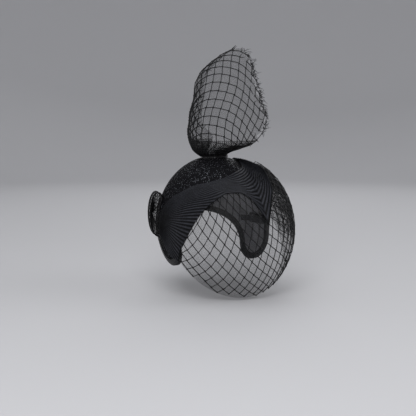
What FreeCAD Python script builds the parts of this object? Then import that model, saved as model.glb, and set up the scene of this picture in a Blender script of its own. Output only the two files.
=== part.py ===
import FreeCAD, Part
import math
import os

import Sketcher

Vector = FreeCAD.Vector
Rotation = FreeCAD.Rotation
Placement = FreeCAD.Placement

# Fascinator headpiece, millimetres. The origin is the crown point where the cap's lining rests on the
# top of the head. +Z is up, the wearer looks along -Y and the wearer's right is -X.
SIZES = {
    "head_side": 72,            # half breadth of the head that the cap fits
    "head_round": 90,           # half length and half height of that head
    "lining_thick": 0.6,
    "shell_thick": 1.2,
    "cover_thick": 1.2,
    "layer_gap": 0.1,
    "front_radius": 60,         # hollow of the cap's front edge, seen from the side
    "front_back": -81,
    "lobe_radius": 28,          # rounded lobe over each ear
    "lobe_back": 5,
    "lobe_height": -112,
    "nape_radius": 74,          # hollow of the cap's rear edge
    "nape_back": 100,
    "cap_top": 60,
    "wire_thick": 1.5,
    "tape_thick": 0.6,
    "tape_wide": 6,
    "tape_reach": 2.3,
    "ribbon_wide": 16,
    "dome_side": 86,            # outer half breadth of the face veil
    "dome_tall": 97.5,
    "dome_x": -6,
    "dome_y": -48,
    "dome_z": -91.5,
    "net_thick": 0.7,
    "tulle_thick": 0.6,
    "hem_height": -45.5,        # height at which the hem's plane meets the Z axis
    "hem_slope": 54.8,          # degrees that the plane falls towards the face
    "braid_thick": 0.9,
    "plume_thick": 0.7,
    "view_turn": -30,           # degrees that the sweep of the band is turned to the wearer's right
    "neck_height": 4.6,
    "wrap_radius": 17.9,        # middle of the thread wound round the plume's neck
    "wrap_thread": 0.9,
    "rosette_radius": 26,
    "rosette_lift": 4.3,        # from the head to the rosette's back, over the cap's layers
    "rosette_thick": 4,
    "rosette_back": -3,
    "rosette_height": -90,
    "knot_radius": 7,
    "loop_tall": 30,
    "loop_deep": 14.5,
    "loop_wide": 20,
    "loop_side": -70.5,         # the loop's middle
    "loop_back": 35.2,
    "loop_height": -75,
    "edge_sink": 0.5,           # how much the rim tape's fold is drawn in round the wire
    "ribbon_gap": 0.6,          # from the rim tape's edge to the ribbon
    "veil_room": 1.2,           # from the cap's cover to the veil
    "clip_wide": 8,
    "clip_tab": 13,             # breadth of the sewn base plate
    "clip_plate": 0.9,
    "pin_radius": 0.8,
    "pin_rise": 3.4,
    "pin_fit": 0.05,
    "clip_face": 69.2,          # distance from the middle plane to the base plate's outer face
    "clip_back": 8,
    "clip_height": -86,
    "thread_radius": 0.22,
}

doc = FreeCAD.newDocument("Fascinator")
sheet = doc.addObject("Spreadsheet::Sheet", "Sizes")
for row, (alias, value) in enumerate(SIZES.items(), start=1):
    sheet.set("A%d" % row, alias)
    sheet.set("B%d" % row, str(value))
    sheet.setAlias("B%d" % row, alias)
doc.recompute()

NODES = []


def size(alias):
    """A driving dimension read back from the sheet."""
    return float(sheet.get(alias))


def bind(item, **expressions):
    """Tie properties of a document object to cells, such as Radius="pin_radius + pin_fit"."""
    for prop, text in expressions.items():
        for alias in sorted(SIZES, key=len, reverse=True):
            text = replace_word(text, alias, "Sizes." + alias)
        item.setExpression(prop.replace("__", "."), text)
    return item


def replace_word(text, word, new):
    """Replace a whole word in an expression."""
    out = []
    token = ""
    for letter in text + " ":
        if letter.isalnum() or letter in "_.":
            token += letter
            continue
        out.append(new if token == word else token)
        out.append(letter)
        token = ""
    return "".join(out).strip()


def node(item, label):
    """Give a finished sub-part its name."""
    item.Label = label
    NODES.append(item)
    return item


def cut(name, base, tool):
    item = doc.addObject("Part::Cut", name)
    item.Base = base
    item.Tool = tool
    return item


def common(name, *shapes):
    item = doc.addObject("Part::MultiCommon", name)
    item.Shapes = list(shapes)
    return item


def fuse(name, *shapes):
    item = doc.addObject("Part::MultiFuse", name)
    item.Shapes = list(shapes)
    return item


def solid_feature(name, shape, place=None):
    """A sub-part whose shape is worked out here from the sheet's sizes."""
    item = doc.addObject("Part::Feature", name)
    item.Shape = shape
    if place is not None:
        item.Placement = place
    return item


# ---------------------------------------------------------------- cap: layers shaped on the head


def head_ellipsoid(name, offset):
    """The head's ellipsoid grown by an offset, given as an expression."""
    item = doc.addObject("Part::Ellipsoid", name)
    item.Angle1 = -90
    item.Angle2 = 90
    return bind(
        item,
        Radius1="head_round + " + offset,
        Radius2="head_side + " + offset,
        Radius3="head_round + " + offset,
        Placement__Base__z="-head_round",
    )


def head_layer(name, inner, outer):
    """A closed skin between two offsets from the head."""
    return cut(name, head_ellipsoid(name + "_outer", outer), head_ellipsoid(name + "_inner", inner))


def cap_outline():
    """Side outline of the cap: front hollow, ear lobe and rear hollow, three tangent arcs."""
    sketch = doc.addObject("Sketcher::SketchObject", "cap_outline")
    sketch.Placement = Placement(Vector(), Rotation(Vector(1, 1, 1), 120))
    lobe = Vector(size("lobe_back"), size("lobe_height"), 0)
    radius = size("lobe_radius")
    front_reach = radius + size("front_radius")
    front_y = size("front_back")
    front = Vector(front_y, lobe.y + math.sqrt(front_reach**2 - (front_y - lobe.x) ** 2), 0)
    nape_reach = radius + size("nape_radius")
    nape_y = size("nape_back")
    nape = Vector(nape_y, lobe.y - math.sqrt(nape_reach**2 - (nape_y - lobe.x) ** 2), 0)
    to_front = (front - lobe).normalize()
    to_nape = (nape - lobe).normalize()
    front_angle = math.atan2(-to_front.y, -to_front.x)
    nape_angle = math.atan2(-to_nape.y, -to_nape.x)
    up = math.pi / 2
    axis = Vector(0, 0, 1)
    front_arc = Part.ArcOfCircle(Part.Circle(front, axis, size("front_radius")), front_angle, up)
    lobe_arc = Part.ArcOfCircle(
        Part.Circle(lobe, axis, radius),
        math.atan2(to_front.y, to_front.x) - 2 * math.pi,
        math.atan2(to_nape.y, to_nape.x),
    )
    nape_arc = Part.ArcOfCircle(Part.Circle(nape, axis, size("nape_radius")), up, nape_angle)
    top = size("cap_top")
    front_top = Vector(front.x, top, 0)
    nape_top = Vector(nape.x, top, 0)
    sketch.addGeometry([front_arc, lobe_arc, nape_arc])
    sketch.addGeometry(Part.LineSegment(front_arc.EndPoint, front_top))
    sketch.addGeometry(Part.LineSegment(front_top, nape_top))
    sketch.addGeometry(Part.LineSegment(nape_top, nape_arc.StartPoint))
    start, end, centre = 1, 2, 3
    sketch.addConstraint(
        [
            Sketcher.Constraint("Tangent", 0, start, 1, start),
            Sketcher.Constraint("Tangent", 1, end, 2, end),
            Sketcher.Constraint("Coincident", 0, end, 3, start),
            Sketcher.Constraint("Coincident", 3, end, 4, start),
            Sketcher.Constraint("Coincident", 4, end, 5, start),
            Sketcher.Constraint("Coincident", 5, end, 2, start),
            Sketcher.Constraint("Vertical", 3),
            Sketcher.Constraint("Horizontal", 4),
            Sketcher.Constraint("Vertical", 5),
        ]
    )
    sketch.addConstraint(Sketcher.Constraint("Vertical", 0, end, 0, centre))
    sketch.addConstraint(Sketcher.Constraint("Vertical", 2, start, 2, centre))
    driven = [
        ("front_radius", "Radius", (0,)),
        ("lobe_radius", "Radius", (1,)),
        ("nape_radius", "Radius", (2,)),
        ("front_back", "DistanceX", (0, centre)),
        ("lobe_back", "DistanceX", (1, centre)),
        ("nape_back", "DistanceX", (2, centre)),
        ("lobe_height", "DistanceY", (1, centre)),
        ("cap_top", "DistanceY", (4, start)),
    ]
    for alias, kind, where in driven:
        index = sketch.addConstraint(Sketcher.Constraint(kind, *where, size(alias)))
        sketch.renameConstraint(index, alias)
        sketch.setExpression("Constraints." + alias, "Sizes." + alias)
    return sketch


def prism(name, outline, offset):
    """The side outline grown by an offset and extruded right through the head."""
    grown = doc.addObject("Part::Offset2D", name + "_line")
    grown.Source = outline
    bind(grown, Value=offset)
    item = doc.addObject("Part::Extrusion", name)
    item.Base = grown
    item.DirMode = "Normal"
    item.Solid = True
    item.Symmetric = True
    return bind(item, LengthFwd="4 * head_side")


def build_cap():
    outline = cap_outline()
    lining = "lining_thick"
    shell_in = "lining_thick + layer_gap"
    shell_out = "lining_thick + shell_thick + layer_gap"
    cover_in = "lining_thick + shell_thick + 2 * layer_gap"
    cover_out = "lining_thick + shell_thick + cover_thick + 2 * layer_gap"
    edge = prism("edge_prism", outline, "0.01")
    node(common("lining", head_layer("lining_skin", "0", lining), edge), "cap_lining")
    node(common("shell", head_layer("shell_skin", shell_in, shell_out), edge), "cap_shell")
    node(common("cover", head_layer("cover_skin", cover_in, cover_out), edge), "cap_cover")

    wire_in = "lining_thick + layer_gap + shell_thick / 2 - wire_thick / 2"
    wire_out = "lining_thick + layer_gap + shell_thick / 2 + wire_thick / 2"
    wire_zone = cut(
        "wire_zone",
        prism("wire_reach", outline, "wire_thick + layer_gap"),
        prism("wire_start", outline, "layer_gap"),
    )
    node(common("wire", head_layer("wire_skin", wire_in, wire_out), wire_zone), "rim_wire")

    tape_zone = cut(
        "tape_zone",
        prism("tape_reach_prism", outline, "tape_reach + tape_thick - edge_sink"),
        prism("tape_start", outline, "-tape_wide"),
    )
    tape_body = common(
        "tape_body",
        head_layer("tape_skin", "-layer_gap - tape_thick", cover_out + " + layer_gap + tape_thick"),
        tape_zone,
    )
    tape_core = common(
        "tape_core",
        head_layer("core_skin", "-layer_gap", cover_out + " + layer_gap"),
        prism("core_prism", outline, "wire_thick + 2 * layer_gap"),
    )
    node(cut("tape", tape_body, tape_core), "rim_binding")

    ribbon_zone = cut(
        "ribbon_zone",
        prism("ribbon_start", outline, "-tape_wide - ribbon_gap"),
        prism("ribbon_end", outline, "-tape_wide - ribbon_gap - ribbon_wide"),
    )
    ribbon_skin = head_layer("ribbon_skin", "-layer_gap - tape_thick", "-layer_gap")
    node(common("ribbon", ribbon_skin, ribbon_zone), "head_ribbon")


# ---------------------------------------------------------------- points on the cap and on the veil


def on_ellipsoid(centre, side, tall, azimuth, height, side_y=None):
    """A point at a height, at an azimuth measured from the face towards the wearer's left."""
    rise = (height - centre.z) / tall
    spread = math.sqrt(max(0.0, 1 - rise**2))
    angle = math.radians(azimuth)
    east = math.sin(angle)
    south = math.cos(angle)
    depth = side if side_y is None else side_y
    reach = spread / math.hypot(east / side, south / depth)
    return Vector(centre.x + reach * east, centre.y - reach * south, height)


def on_cap(azimuth, height, offset):
    """A point over the cap's cover."""
    cover = size("lining_thick") + size("shell_thick") + size("cover_thick") + 2 * size("layer_gap")
    grow = cover + offset
    centre = Vector(0, 0, -size("head_round"))
    tall = size("head_round") + grow
    return on_ellipsoid(centre, size("head_side") + grow, tall, azimuth, height, tall)


def on_dome(azimuth, height, offset):
    """A point on the face veil's dome, grown by an offset."""
    centre = Vector(size("dome_x"), size("dome_y"), size("dome_z"))
    return on_ellipsoid(centre, size("dome_side") + offset, size("dome_tall") + offset, azimuth, height)


# Stations of the horsehair band from the ear to its far end. Each holds the azimuth and height of its
# sewn edge on the cap, then of its flared edge on the dome, and how far that edge stands off the dome.
BAND_STATIONS = [
    (-66, -112, -84, -126, 1.0),
    (-63, -100, -78, -112, 1.0),
    (-63, -86, -70, -96, 1.0),
    (-67, -71, -62, -76, 1.0),
    (-72, -58, -54, -59, 1.0),
    (-65, -46, -44, -46, 1.0),
    (-51, -38, -32, -37, 1.0),
    (-34, -32, -21, -37, 1.0),
    (-18, -25, -11, -44, 1.0),
    (-4, -18, -4, -57, 1.0),
    (10, -12, 4, -77, 1.0),
    (24, -7, 11, -50, 1.0),
    (38, -3, 19, -32, 1.0),
    (53, 0, 30, -10, 1.0),
    (56, -10, 44, -17, -4.0),
    (58, -22, 56, -32, -5.0),
    (62, -38, 62, -48, -6.0),
]
SEWN_LIFT = 1.4                 # from the cap's cover to the band's sewn edge and to the veil's tacks
STITCH_LIFT = 3.0               # from the cap's cover to the stitches over the band


def thin_section(near, far, lean, thick):
    """A closed thin strip section between two points, thickened along a direction."""
    push = Vector(lean).normalize() * thick
    corners = [near, far, far + push, near + push]
    return Part.makePolygon(corners + [near])


def build_band():
    """The stiff braid: sewn along the cap at one edge, flared off the forehead at the other."""
    centre = Vector(size("dome_x"), size("dome_y"), size("dome_z"))
    sections = []
    for cap_azimuth, cap_height, rim_azimuth, rim_height, stand_off in BAND_STATIONS:
        sewn = on_cap(cap_azimuth, cap_height, SEWN_LIFT)
        flared = on_dome(rim_azimuth, rim_height, stand_off)
        outward = (sewn + flared) * 0.5 - centre
        across = flared - sewn
        outward -= across * (outward.dot(across) / across.dot(across))
        sections.append(thin_section(sewn, flared, outward, size("braid_thick")))
    node(solid_feature("band", Part.makeLoft(sections, True, True)), "horsehair_band")


# ---------------------------------------------------------------- face veil


def dome_ellipsoid(name, inset):
    item = doc.addObject("Part::Ellipsoid", name)
    item.Angle1 = -90
    item.Angle2 = 90
    return bind(
        item,
        Radius1="dome_tall - (%s)" % inset,
        Radius2="dome_side - (%s)" % inset,
        Radius3="dome_side - (%s)" % inset,
        Placement__Base__x="dome_x",
        Placement__Base__y="dome_y",
        Placement__Base__z="dome_z",
    )


WINDOW_MARGIN = 0.8             # room between the band's edge and the veil


def band_window():
    """The region that the band covers, as an outline that faces the wearer's right front."""
    turn = math.radians(size("view_turn"))
    right = Vector(math.cos(turn), math.sin(turn), 0)

    def flat(station):
        point = on_dome(BAND_STATIONS[station][2], BAND_STATIONS[station][3], 0)
        return right * point.dot(right) + Vector(0, 0, point.z)

    roof = 30
    far_side = -110
    crown_reach = -16
    tip = 10
    last = 13
    ear = flat(0)
    edges = [
        Part.Arc(ear, flat(3), flat(6)).toShape(),
        Part.Arc(flat(6), flat(8), flat(tip)).toShape(),
        Part.Arc(flat(tip), flat(tip + 2), flat(last)).toShape(),
    ]
    top_right = flat(last) + right * crown_reach + Vector(0, 0, roof)
    top_left = right * far_side + Vector(0, 0, roof)
    low_left = right * far_side + Vector(0, 0, ear.z)
    corners = [flat(last), top_right, top_left, low_left, ear]
    edges += [Part.makeLine(a, b) for a, b in zip(corners, corners[1:])]
    face = Part.Face(Part.Wire(edges)).makeOffset2D(WINDOW_MARGIN, join=2)
    toward = Vector(math.sin(turn), -math.cos(turn), 0)
    return solid_feature("band_window", face.extrude(toward * 3 * size("dome_side")))


def build_veil():
    reach = 600
    below_hem = doc.addObject("Part::Box", "below_hem")
    below_hem.Length = below_hem.Width = below_hem.Height = reach
    slope = Rotation(Vector(1, 0, 0), size("hem_slope"))
    below_hem.Placement.Rotation = slope
    corner = slope.multVec(Vector(-reach / 2, -reach / 2, -reach))
    below_hem.Placement.Base = corner + Vector(0, 0, size("hem_height"))
    clearance = head_ellipsoid("veil_clearance", "lining_thick + shell_thick + cover_thick + veil_room")
    window = band_window()
    layers = [
        ("net", "0", "net_thick", "veil_net"),
        ("tulle", "net_thick + layer_gap", "net_thick + layer_gap + tulle_thick", "veil_tulle"),
    ]
    for name, outer, inner, label in layers:
        outside = dome_ellipsoid(name + "_outer", outer)
        skin = cut(name + "_skin", outside, dome_ellipsoid(name + "_in", inner))
        hemmed = cut(name + "_hemmed", skin, below_hem)
        clear = cut(name + "_clear", hemmed, clearance)
        node(cut(name, clear, window), label)


# ---------------------------------------------------------------- plume on the crown

# Sections of the plume going up: height over the neck, then how far the section reaches from the crown's
# axis, first on the wearer's right and then on the left. Both grow to the left, so the plume leans that way.
PLUME_SECTIONS = [
    (-2.4, -18, 13),
    (4.4, -18, 13),
    (8, -27, 24),
    (12, -32, 36),
    (16, -34.5, 50),
    (22, -36, 57),
    (34, -37, 65),
    (50, -35, 68),
    (76, -29, 61),
    (95, -27, 56),
    (110, -20, 51),
    (122, -8, 48),
    (134, 8, 43),
    (142, 24, 38),
]
PLUME_BACK = 70                 # degrees that the net wraps round behind its left side
PLUME_ROLL = 0.54               # radius of the roll for each millimetre of its reach
NET_PLAY = 0.1
NECK_MIDDLE = -1.3              # middle of the neck, towards the wearer's right
WRAP_TURNS = 4
WRAP_START = -1.0               # first turn over the neck's height, and the step between turns, in threads
WRAP_STEP = 1.6


def plume_section(height, left, right, inset, thick):
    """A thin C-shaped section that opens behind and to the wearer's left."""
    radius = PLUME_ROLL * (right - left)
    centre = Vector(left + radius, 0, height)
    front = math.degrees(math.acos((centre.x - right) / radius))

    def rim(angle, reach):
        turn = math.radians(angle)
        return centre + Vector(-math.cos(turn), -math.sin(turn), 0) * reach

    outer = radius - inset
    inner = outer - thick
    middle = (front - PLUME_BACK) / 2
    outside = Part.Arc(rim(-PLUME_BACK, outer), rim(middle, outer), rim(front, outer)).toShape()
    front_end = Part.makeLine(rim(front, outer), rim(front, inner))
    inside = Part.Arc(rim(front, inner), rim(middle, inner), rim(-PLUME_BACK, inner)).toShape()
    back_end = Part.makeLine(rim(-PLUME_BACK, inner), rim(-PLUME_BACK, outer))
    return Part.Wire([outside, front_end, inside, back_end])


def plume_place(rise=0):
    turn = Rotation(Vector(0, 0, 1), size("view_turn"))
    return Placement(Vector(0, 0, size("neck_height") + rise), turn)


def build_plume():
    layers = [
        ("plume_outside", 0, size("plume_thick"), "plume_net"),
        ("plume_inside", size("plume_thick") + NET_PLAY, size("plume_thick"), "plume_tulle"),
    ]
    for name, inset, thick, label in layers:
        sections = [plume_section(*row, inset, thick) for row in PLUME_SECTIONS]
        shape = Part.makeLoft(sections, True, True)
        node(solid_feature(name, shape, plume_place()), label)

    neck_middle = Vector(NECK_MIDDLE, 0, 0)
    turns = []
    for count in range(WRAP_TURNS):
        ring = doc.addObject("Part::Torus", "wrap_turn_%d" % count)
        bind(ring, Radius1="wrap_radius", Radius2="wrap_thread")
        rise = (WRAP_START + WRAP_STEP * count) * size("wrap_thread")
        ring.Placement = plume_place(rise).multiply(Placement(neck_middle, Rotation()))
        turns.append(ring)
    node(fuse("wrap", *turns), "neck_wrap")


# ---------------------------------------------------------------- rosette and loop at the right ear


LOOP_TURN = 18                  # degrees that the loop's opening turns in towards the back of the head


def build_side_trim():
    core = doc.addObject("Part::Cylinder", "rosette_core")
    bind(
        core,
        Radius="rosette_radius",
        Height="2 * head_side",
        Placement__Base__y="rosette_back",
        Placement__Base__z="rosette_height",
    )
    toward_ear = Rotation(Vector(0, 0, 1), Vector(-1, 0, 0))
    core.Placement.Rotation = toward_ear
    skin = head_layer("rosette_skin", "rosette_lift", "rosette_lift + rosette_thick")
    node(common("rosette", skin, core), "side_rosette")
    knot = doc.addObject("Part::Cone", "knot")
    bind(knot, Radius1="knot_radius", Radius2="knot_radius * 0.6", Height="knot_radius * 0.4")
    bind(knot, Placement__Base__y="rosette_back", Placement__Base__z="rosette_height")
    knot.Placement.Rotation = toward_ear
    knot.setExpression(
        "Placement.Base.x",
        "-(Sizes.head_side + Sizes.rosette_lift + Sizes.rosette_thick + Sizes.layer_gap)",
    )
    node(knot, "rosette_knot")

    # the loop is an arch that stands on the cap behind the rosette, its opening facing forward
    rings = []
    for name, shrink in (("loop_outer", "0"), ("loop_inner", "1")):
        ring = doc.addObject("Part::Ellipse", name + "_line")
        bind(ring, MajorRadius="loop_tall - " + shrink, MinorRadius="loop_deep - " + shrink)
        ring.Angle1 = 0
        ring.Angle2 = 360
        body = doc.addObject("Part::Extrusion", name)
        body.Base = ring
        body.DirMode = "Custom"
        body.Dir = Vector(0, 0, 1)
        body.Solid = True
        body.Symmetric = True
        bind(body, LengthFwd="loop_wide + 4 * " + shrink)
        rings.append(body)
    ring = cut("loop_ring", rings[0], rings[1])
    clear = "lining_thick + shell_thick + cover_thick + tape_thick + 6 * layer_gap"
    loop_cut = head_ellipsoid("loop_cut", clear)
    turn = math.radians(LOOP_TURN)
    along = Vector(math.sin(turn), math.cos(turn), 0)
    upright = Vector(0, 0, 1)
    across = along.cross(upright)
    frame = FreeCAD.Matrix(
        upright.x, across.x, along.x, size("loop_side"),
        upright.y, across.y, along.y, size("loop_back"),
        upright.z, across.z, along.z, size("loop_height"),
        0, 0, 0, 1,
    )
    ring.Placement = Placement(frame)
    node(cut("loop", ring, loop_cut), "side_loop")


# ---------------------------------------------------------------- stitches


STITCH_LONG = 3.0
TACK_AZIMUTH = 104              # where the veil is tacked down at the wearer's left


def stitch(middle, along, length, radius):
    """A short straight thread, round in section."""
    step = Vector(along).normalize() * length
    return Part.makeCylinder(radius, length, middle - step * 0.5, step)


def build_stitches():
    thread = size("thread_radius")
    band = []
    for before, after in zip(BAND_STATIONS[3:13], BAND_STATIONS[4:14]):
        for share in (0.25, 0.75):
            azimuth = before[0] + share * (after[0] - before[0])
            height = before[1] + share * (after[1] - before[1])
            here = on_cap(azimuth, height, STITCH_LIFT)
            slope = (after[1] - before[1]) / (after[0] - before[0])
            ahead = on_cap(azimuth + 1, height + slope, STITCH_LIFT)
            band.append(stitch(here, ahead - here, STITCH_LONG, thread))
    node(solid_feature("band_thread", Part.makeCompound(band)), "band_stitches")
    tacks = []
    for height in range(-90, -20, 10):
        here = on_cap(TACK_AZIMUTH, height, SEWN_LIFT)
        ahead = on_cap(TACK_AZIMUTH, height + 2, SEWN_LIFT)
        tacks.append(stitch(here, ahead - here, STITCH_LONG, thread))
    node(solid_feature("veil_thread", Part.makeCompound(tacks)), "veil_stitches")


# ---------------------------------------------------------------- grip clips sewn inside the cap

JAW_TIP = -24                   # from the pin to the tip, along the clip
PLATE_TAIL = 12
TAB_TAIL = 16                   # where the press tab ends, along the clip and off the base plate
TAB_RISE = 12.5
STITCH_SPOTS = (-16, 8)         # thread holes along the clip, and how far they are to each side
STITCH_SIDE = 4.9
LOOP_SIDE = 6.2                 # middle of each thread loop, round the base plate's edge
LOOP_RADIUS = 1.3
JAW_REST = 0.3                  # gap between the closed jaw and the base plate
EAR_PLAY = 0.4                  # room for the jaw between the two ears
SPRING_PLAY = 2.4               # what the spring's room is narrower than the clip
COIL_PLAY = 3.4                 # what the coil is narrower than the clip
LEG_RADIUS = 0.3
LEG_LONG = 8


def plate_body(name, corners, width):
    """A flat plate's side profile, padded evenly to both sides."""
    body = doc.addObject("PartDesign::Body", name)
    sketch = body.newObject("Sketcher::SketchObject", name + "_profile")
    plane = [item for item in body.Origin.OriginFeatures if item.Role == "XY_Plane"][0]
    sketch.AttachmentSupport = (plane, "")
    sketch.MapMode = "FlatFace"
    points = [Vector(x, y, 0) for x, y in corners]
    closed = points[1:] + points[:1]
    for index, (near, far) in enumerate(zip(points, closed)):
        sketch.addGeometry(Part.LineSegment(near, far))
        sketch.addConstraint(Sketcher.Constraint("DistanceX", index, 1, near.x))
        sketch.addConstraint(Sketcher.Constraint("DistanceY", index, 1, near.y))
    for index in range(len(points)):
        follower = (index + 1) % len(points)
        sketch.addConstraint(Sketcher.Constraint("Coincident", index, 2, follower, 1))
    pad = body.newObject("PartDesign::Pad", name + "_pad")
    pad.Profile = sketch
    pad.SideType = "Symmetric"
    bind(pad, Length=width)
    doc.recompute()
    return body


def drill(body, name, spots, radius, plane_role="XY_Plane"):
    """Round holes through a body, drawn on one of its own planes."""
    sketch = body.newObject("Sketcher::SketchObject", name + "_sketch")
    plane = [item for item in body.Origin.OriginFeatures if item.Role == plane_role][0]
    sketch.AttachmentSupport = (plane, "")
    sketch.MapMode = "FlatFace"
    for index, (x, y) in enumerate(spots):
        sketch.addGeometry(Part.Circle(Vector(x, y, 0), Vector(0, 0, 1), 1.0))
        sketch.addConstraint(Sketcher.Constraint("DistanceX", index, 3, x))
        sketch.addConstraint(Sketcher.Constraint("DistanceY", index, 3, y))
        number = sketch.addConstraint(Sketcher.Constraint("Radius", index, 1.0))
        label = "hole_%d" % index
        sketch.renameConstraint(number, label)
        bind(sketch, **{"Constraints__" + label: radius})
    hole = body.newObject("PartDesign::Pocket", name)
    hole.Profile = sketch
    hole.Type = "ThroughAll"
    hole.SideType = "Symmetric"
    doc.recompute()
    return hole


def clip_place(side):
    """Right clip: x runs to the head. The left clip is the same one turned about the Y axis."""
    turn = Rotation(Vector(0, 1, 0), 0 if side == "right" else 180)
    reach = -size("clip_face") if side == "right" else size("clip_face")
    return Placement(Vector(reach, size("clip_back"), size("clip_height")), turn)


def build_clip(side):
    plate = size("clip_plate")
    rise = size("pin_rise")
    place = clip_place(side)
    base_profile = [(0, JAW_TIP), (plate, JAW_TIP), (plate, PLATE_TAIL), (0, PLATE_TAIL)]
    base_plate = plate_body(side + "_base_plate", base_profile, "clip_tab")
    holes = [(spot, edge * STITCH_SIDE) for spot in STITCH_SPOTS for edge in (-1, 1)]
    drill(base_plate, side + "_thread_holes", holes, "thread_radius * 3", plane_role="YZ_Plane")
    ear_profile = [(plate - 0.1, -3.2), (rise + 2, -1.6), (rise + 2, 1.6), (plate - 0.1, 3.2)]
    ears = plate_body(side + "_ears", ear_profile, "clip_wide + 2 * clip_plate + %s" % EAR_PLAY)
    drill(ears, side + "_ear_bore", [(rise, 0)], "pin_radius + pin_fit")
    slot = doc.addObject("Part::Box", side + "_ear_slot")
    bind(slot, Height="clip_wide + %s" % EAR_PLAY)
    slot.Length = 20
    slot.Width = 20
    slot.Placement.Base = Vector(plate, -10, -(size("clip_wide") + EAR_PLAY) / 2)
    base = cut(side + "_base", fuse(side + "_base_blank", base_plate, ears), slot)
    base.Placement = place
    node(base, side + "_clip_base")

    gap = plate + JAW_REST
    jaw_profile = [
        (gap, JAW_TIP),
        (gap + plate, JAW_TIP + 0.6),
        (rise + 3.0, -3.0),
        (rise + 3.1, 1.5),
        (TAB_RISE, TAB_TAIL),
        (TAB_RISE - plate, TAB_TAIL + 0.2),
        (rise + 2.2, 2.4),
        (rise + 2.1, -2.6),
        (gap, JAW_TIP + 5),
    ]
    jaw_plate = plate_body(side + "_jaw_plate", jaw_profile, "clip_wide - %s" % EAR_PLAY)
    lug_profile = [(rise - 1.4, -1.8), (rise + 2.4, -2.2), (rise + 2.4, 2.0), (rise - 1.4, 1.8)]
    lugs = plate_body(side + "_lugs", lug_profile, "clip_wide - %s" % EAR_PLAY)
    drill(lugs, side + "_lug_bore", [(rise, 0)], "pin_radius + pin_fit")
    spring_room = doc.addObject("Part::Box", side + "_spring_room")
    bind(spring_room, Height="clip_wide - %s" % SPRING_PLAY)
    spring_room.Length = 5.1
    spring_room.Width = 8
    spring_room.Placement.Base = Vector(rise - 3.0, -4, -(size("clip_wide") - SPRING_PLAY) / 2)
    bare_lugs = cut(side + "_bare_lugs", lugs, spring_room)
    bore_room = doc.addObject("Part::Cylinder", side + "_bore_room")
    bind(bore_room, Radius="pin_radius + pin_fit", Height="2 * clip_wide")
    bore_room.Placement.Base = Vector(rise, 0, -size("clip_wide"))
    jaw = cut(side + "_jaw", fuse(side + "_jaw_blank", jaw_plate, bare_lugs), bore_room)
    jaw.Placement = place
    node(jaw, side + "_clip_jaw")

    pin = doc.addObject("Part::Cylinder", side + "_pin")
    bind(pin, Radius="pin_radius", Height="clip_wide + 2 * clip_plate + 1.2")
    half = (size("clip_wide") + 2 * size("clip_plate") + 1.2) / 2
    pin.Placement = place.multiply(Placement(Vector(rise, 0, -half), Rotation()))
    node(pin, side + "_clip_pin")

    outer = doc.addObject("Part::Cylinder", side + "_coil_outer")
    bind(outer, Radius="pin_radius + 1.0", Height="clip_wide - %s" % COIL_PLAY)
    inner = doc.addObject("Part::Cylinder", side + "_coil_inner")
    bind(inner, Radius="pin_radius + 0.3", Height="clip_wide - %s" % COIL_PLAY)
    for drum in (outer, inner):
        drum.Placement.Base = Vector(rise, 0, -(size("clip_wide") - COIL_PLAY) / 2)
    leg = doc.addObject("Part::Cylinder", side + "_coil_leg")
    leg.Radius = LEG_RADIUS
    leg.Height = LEG_LONG
    leg.Placement = Placement(Vector(rise - 1.4, 0, 1.6), Rotation(Vector(1, 0, 0), -90))
    spring = cut(side + "_spring", fuse(side + "_spring_blank", outer, leg), inner)
    spring.Placement = place
    node(spring, side + "_clip_spring")

    loops = []
    for spot in STITCH_SPOTS:
        for edge in (-1, 1):
            middle = Vector(plate / 2, spot, edge * LOOP_SIDE)
            loops.append(Part.makeTorus(LOOP_RADIUS, size("thread_radius"), middle, Vector(0, 1, 0)))
    node(solid_feature(side + "_tacks", Part.makeCompound(loops), place), side + "_clip_stitches")


build_cap()
build_band()
build_veil()
build_plume()
build_side_trim()
build_stitches()
for wearer_side in ("right", "left"):
    build_clip(wearer_side)
doc.recompute()

for item in doc.Objects:
    if "Invalid" in item.State or "Error" in item.State:
        raise RuntimeError("%s failed: %s" % (item.Label, item.State))
for item in NODES:
    if item.Shape.isNull() or not item.Shape.isValid():
        raise RuntimeError(item.Label + " has no valid shape")

os.makedirs("parts", exist_ok=True)
for item in NODES:
    item.Shape.exportStep("parts/%s.step" % item.Label)
    print("%-20s %9.1f mm3  solids %d" % (item.Label, item.Shape.Volume, len(item.Shape.Solids)))
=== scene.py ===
"""Looks of the fascinator headpiece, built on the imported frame.

Lengths are in millimetres until a mesh is made."""

import math
import random

import bmesh
import bpy
import numpy as np
from mathutils import Matrix, Vector, noise
from mathutils.bvhtree import BVHTree


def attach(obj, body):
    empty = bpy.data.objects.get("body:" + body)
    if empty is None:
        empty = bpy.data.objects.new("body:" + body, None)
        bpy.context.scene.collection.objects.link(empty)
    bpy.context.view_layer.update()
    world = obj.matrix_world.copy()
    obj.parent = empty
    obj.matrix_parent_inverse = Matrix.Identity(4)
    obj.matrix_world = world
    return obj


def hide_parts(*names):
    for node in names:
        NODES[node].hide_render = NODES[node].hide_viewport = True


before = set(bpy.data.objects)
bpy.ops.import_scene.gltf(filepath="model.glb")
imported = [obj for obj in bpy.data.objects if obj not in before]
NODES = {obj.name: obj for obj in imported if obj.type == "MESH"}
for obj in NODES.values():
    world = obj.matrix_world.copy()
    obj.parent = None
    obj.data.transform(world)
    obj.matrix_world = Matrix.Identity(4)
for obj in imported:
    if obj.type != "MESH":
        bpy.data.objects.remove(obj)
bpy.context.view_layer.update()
RECORD_BODY = "headpiece"
MM = 0.001

# ---------------------------------------------------------------- camera


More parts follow.
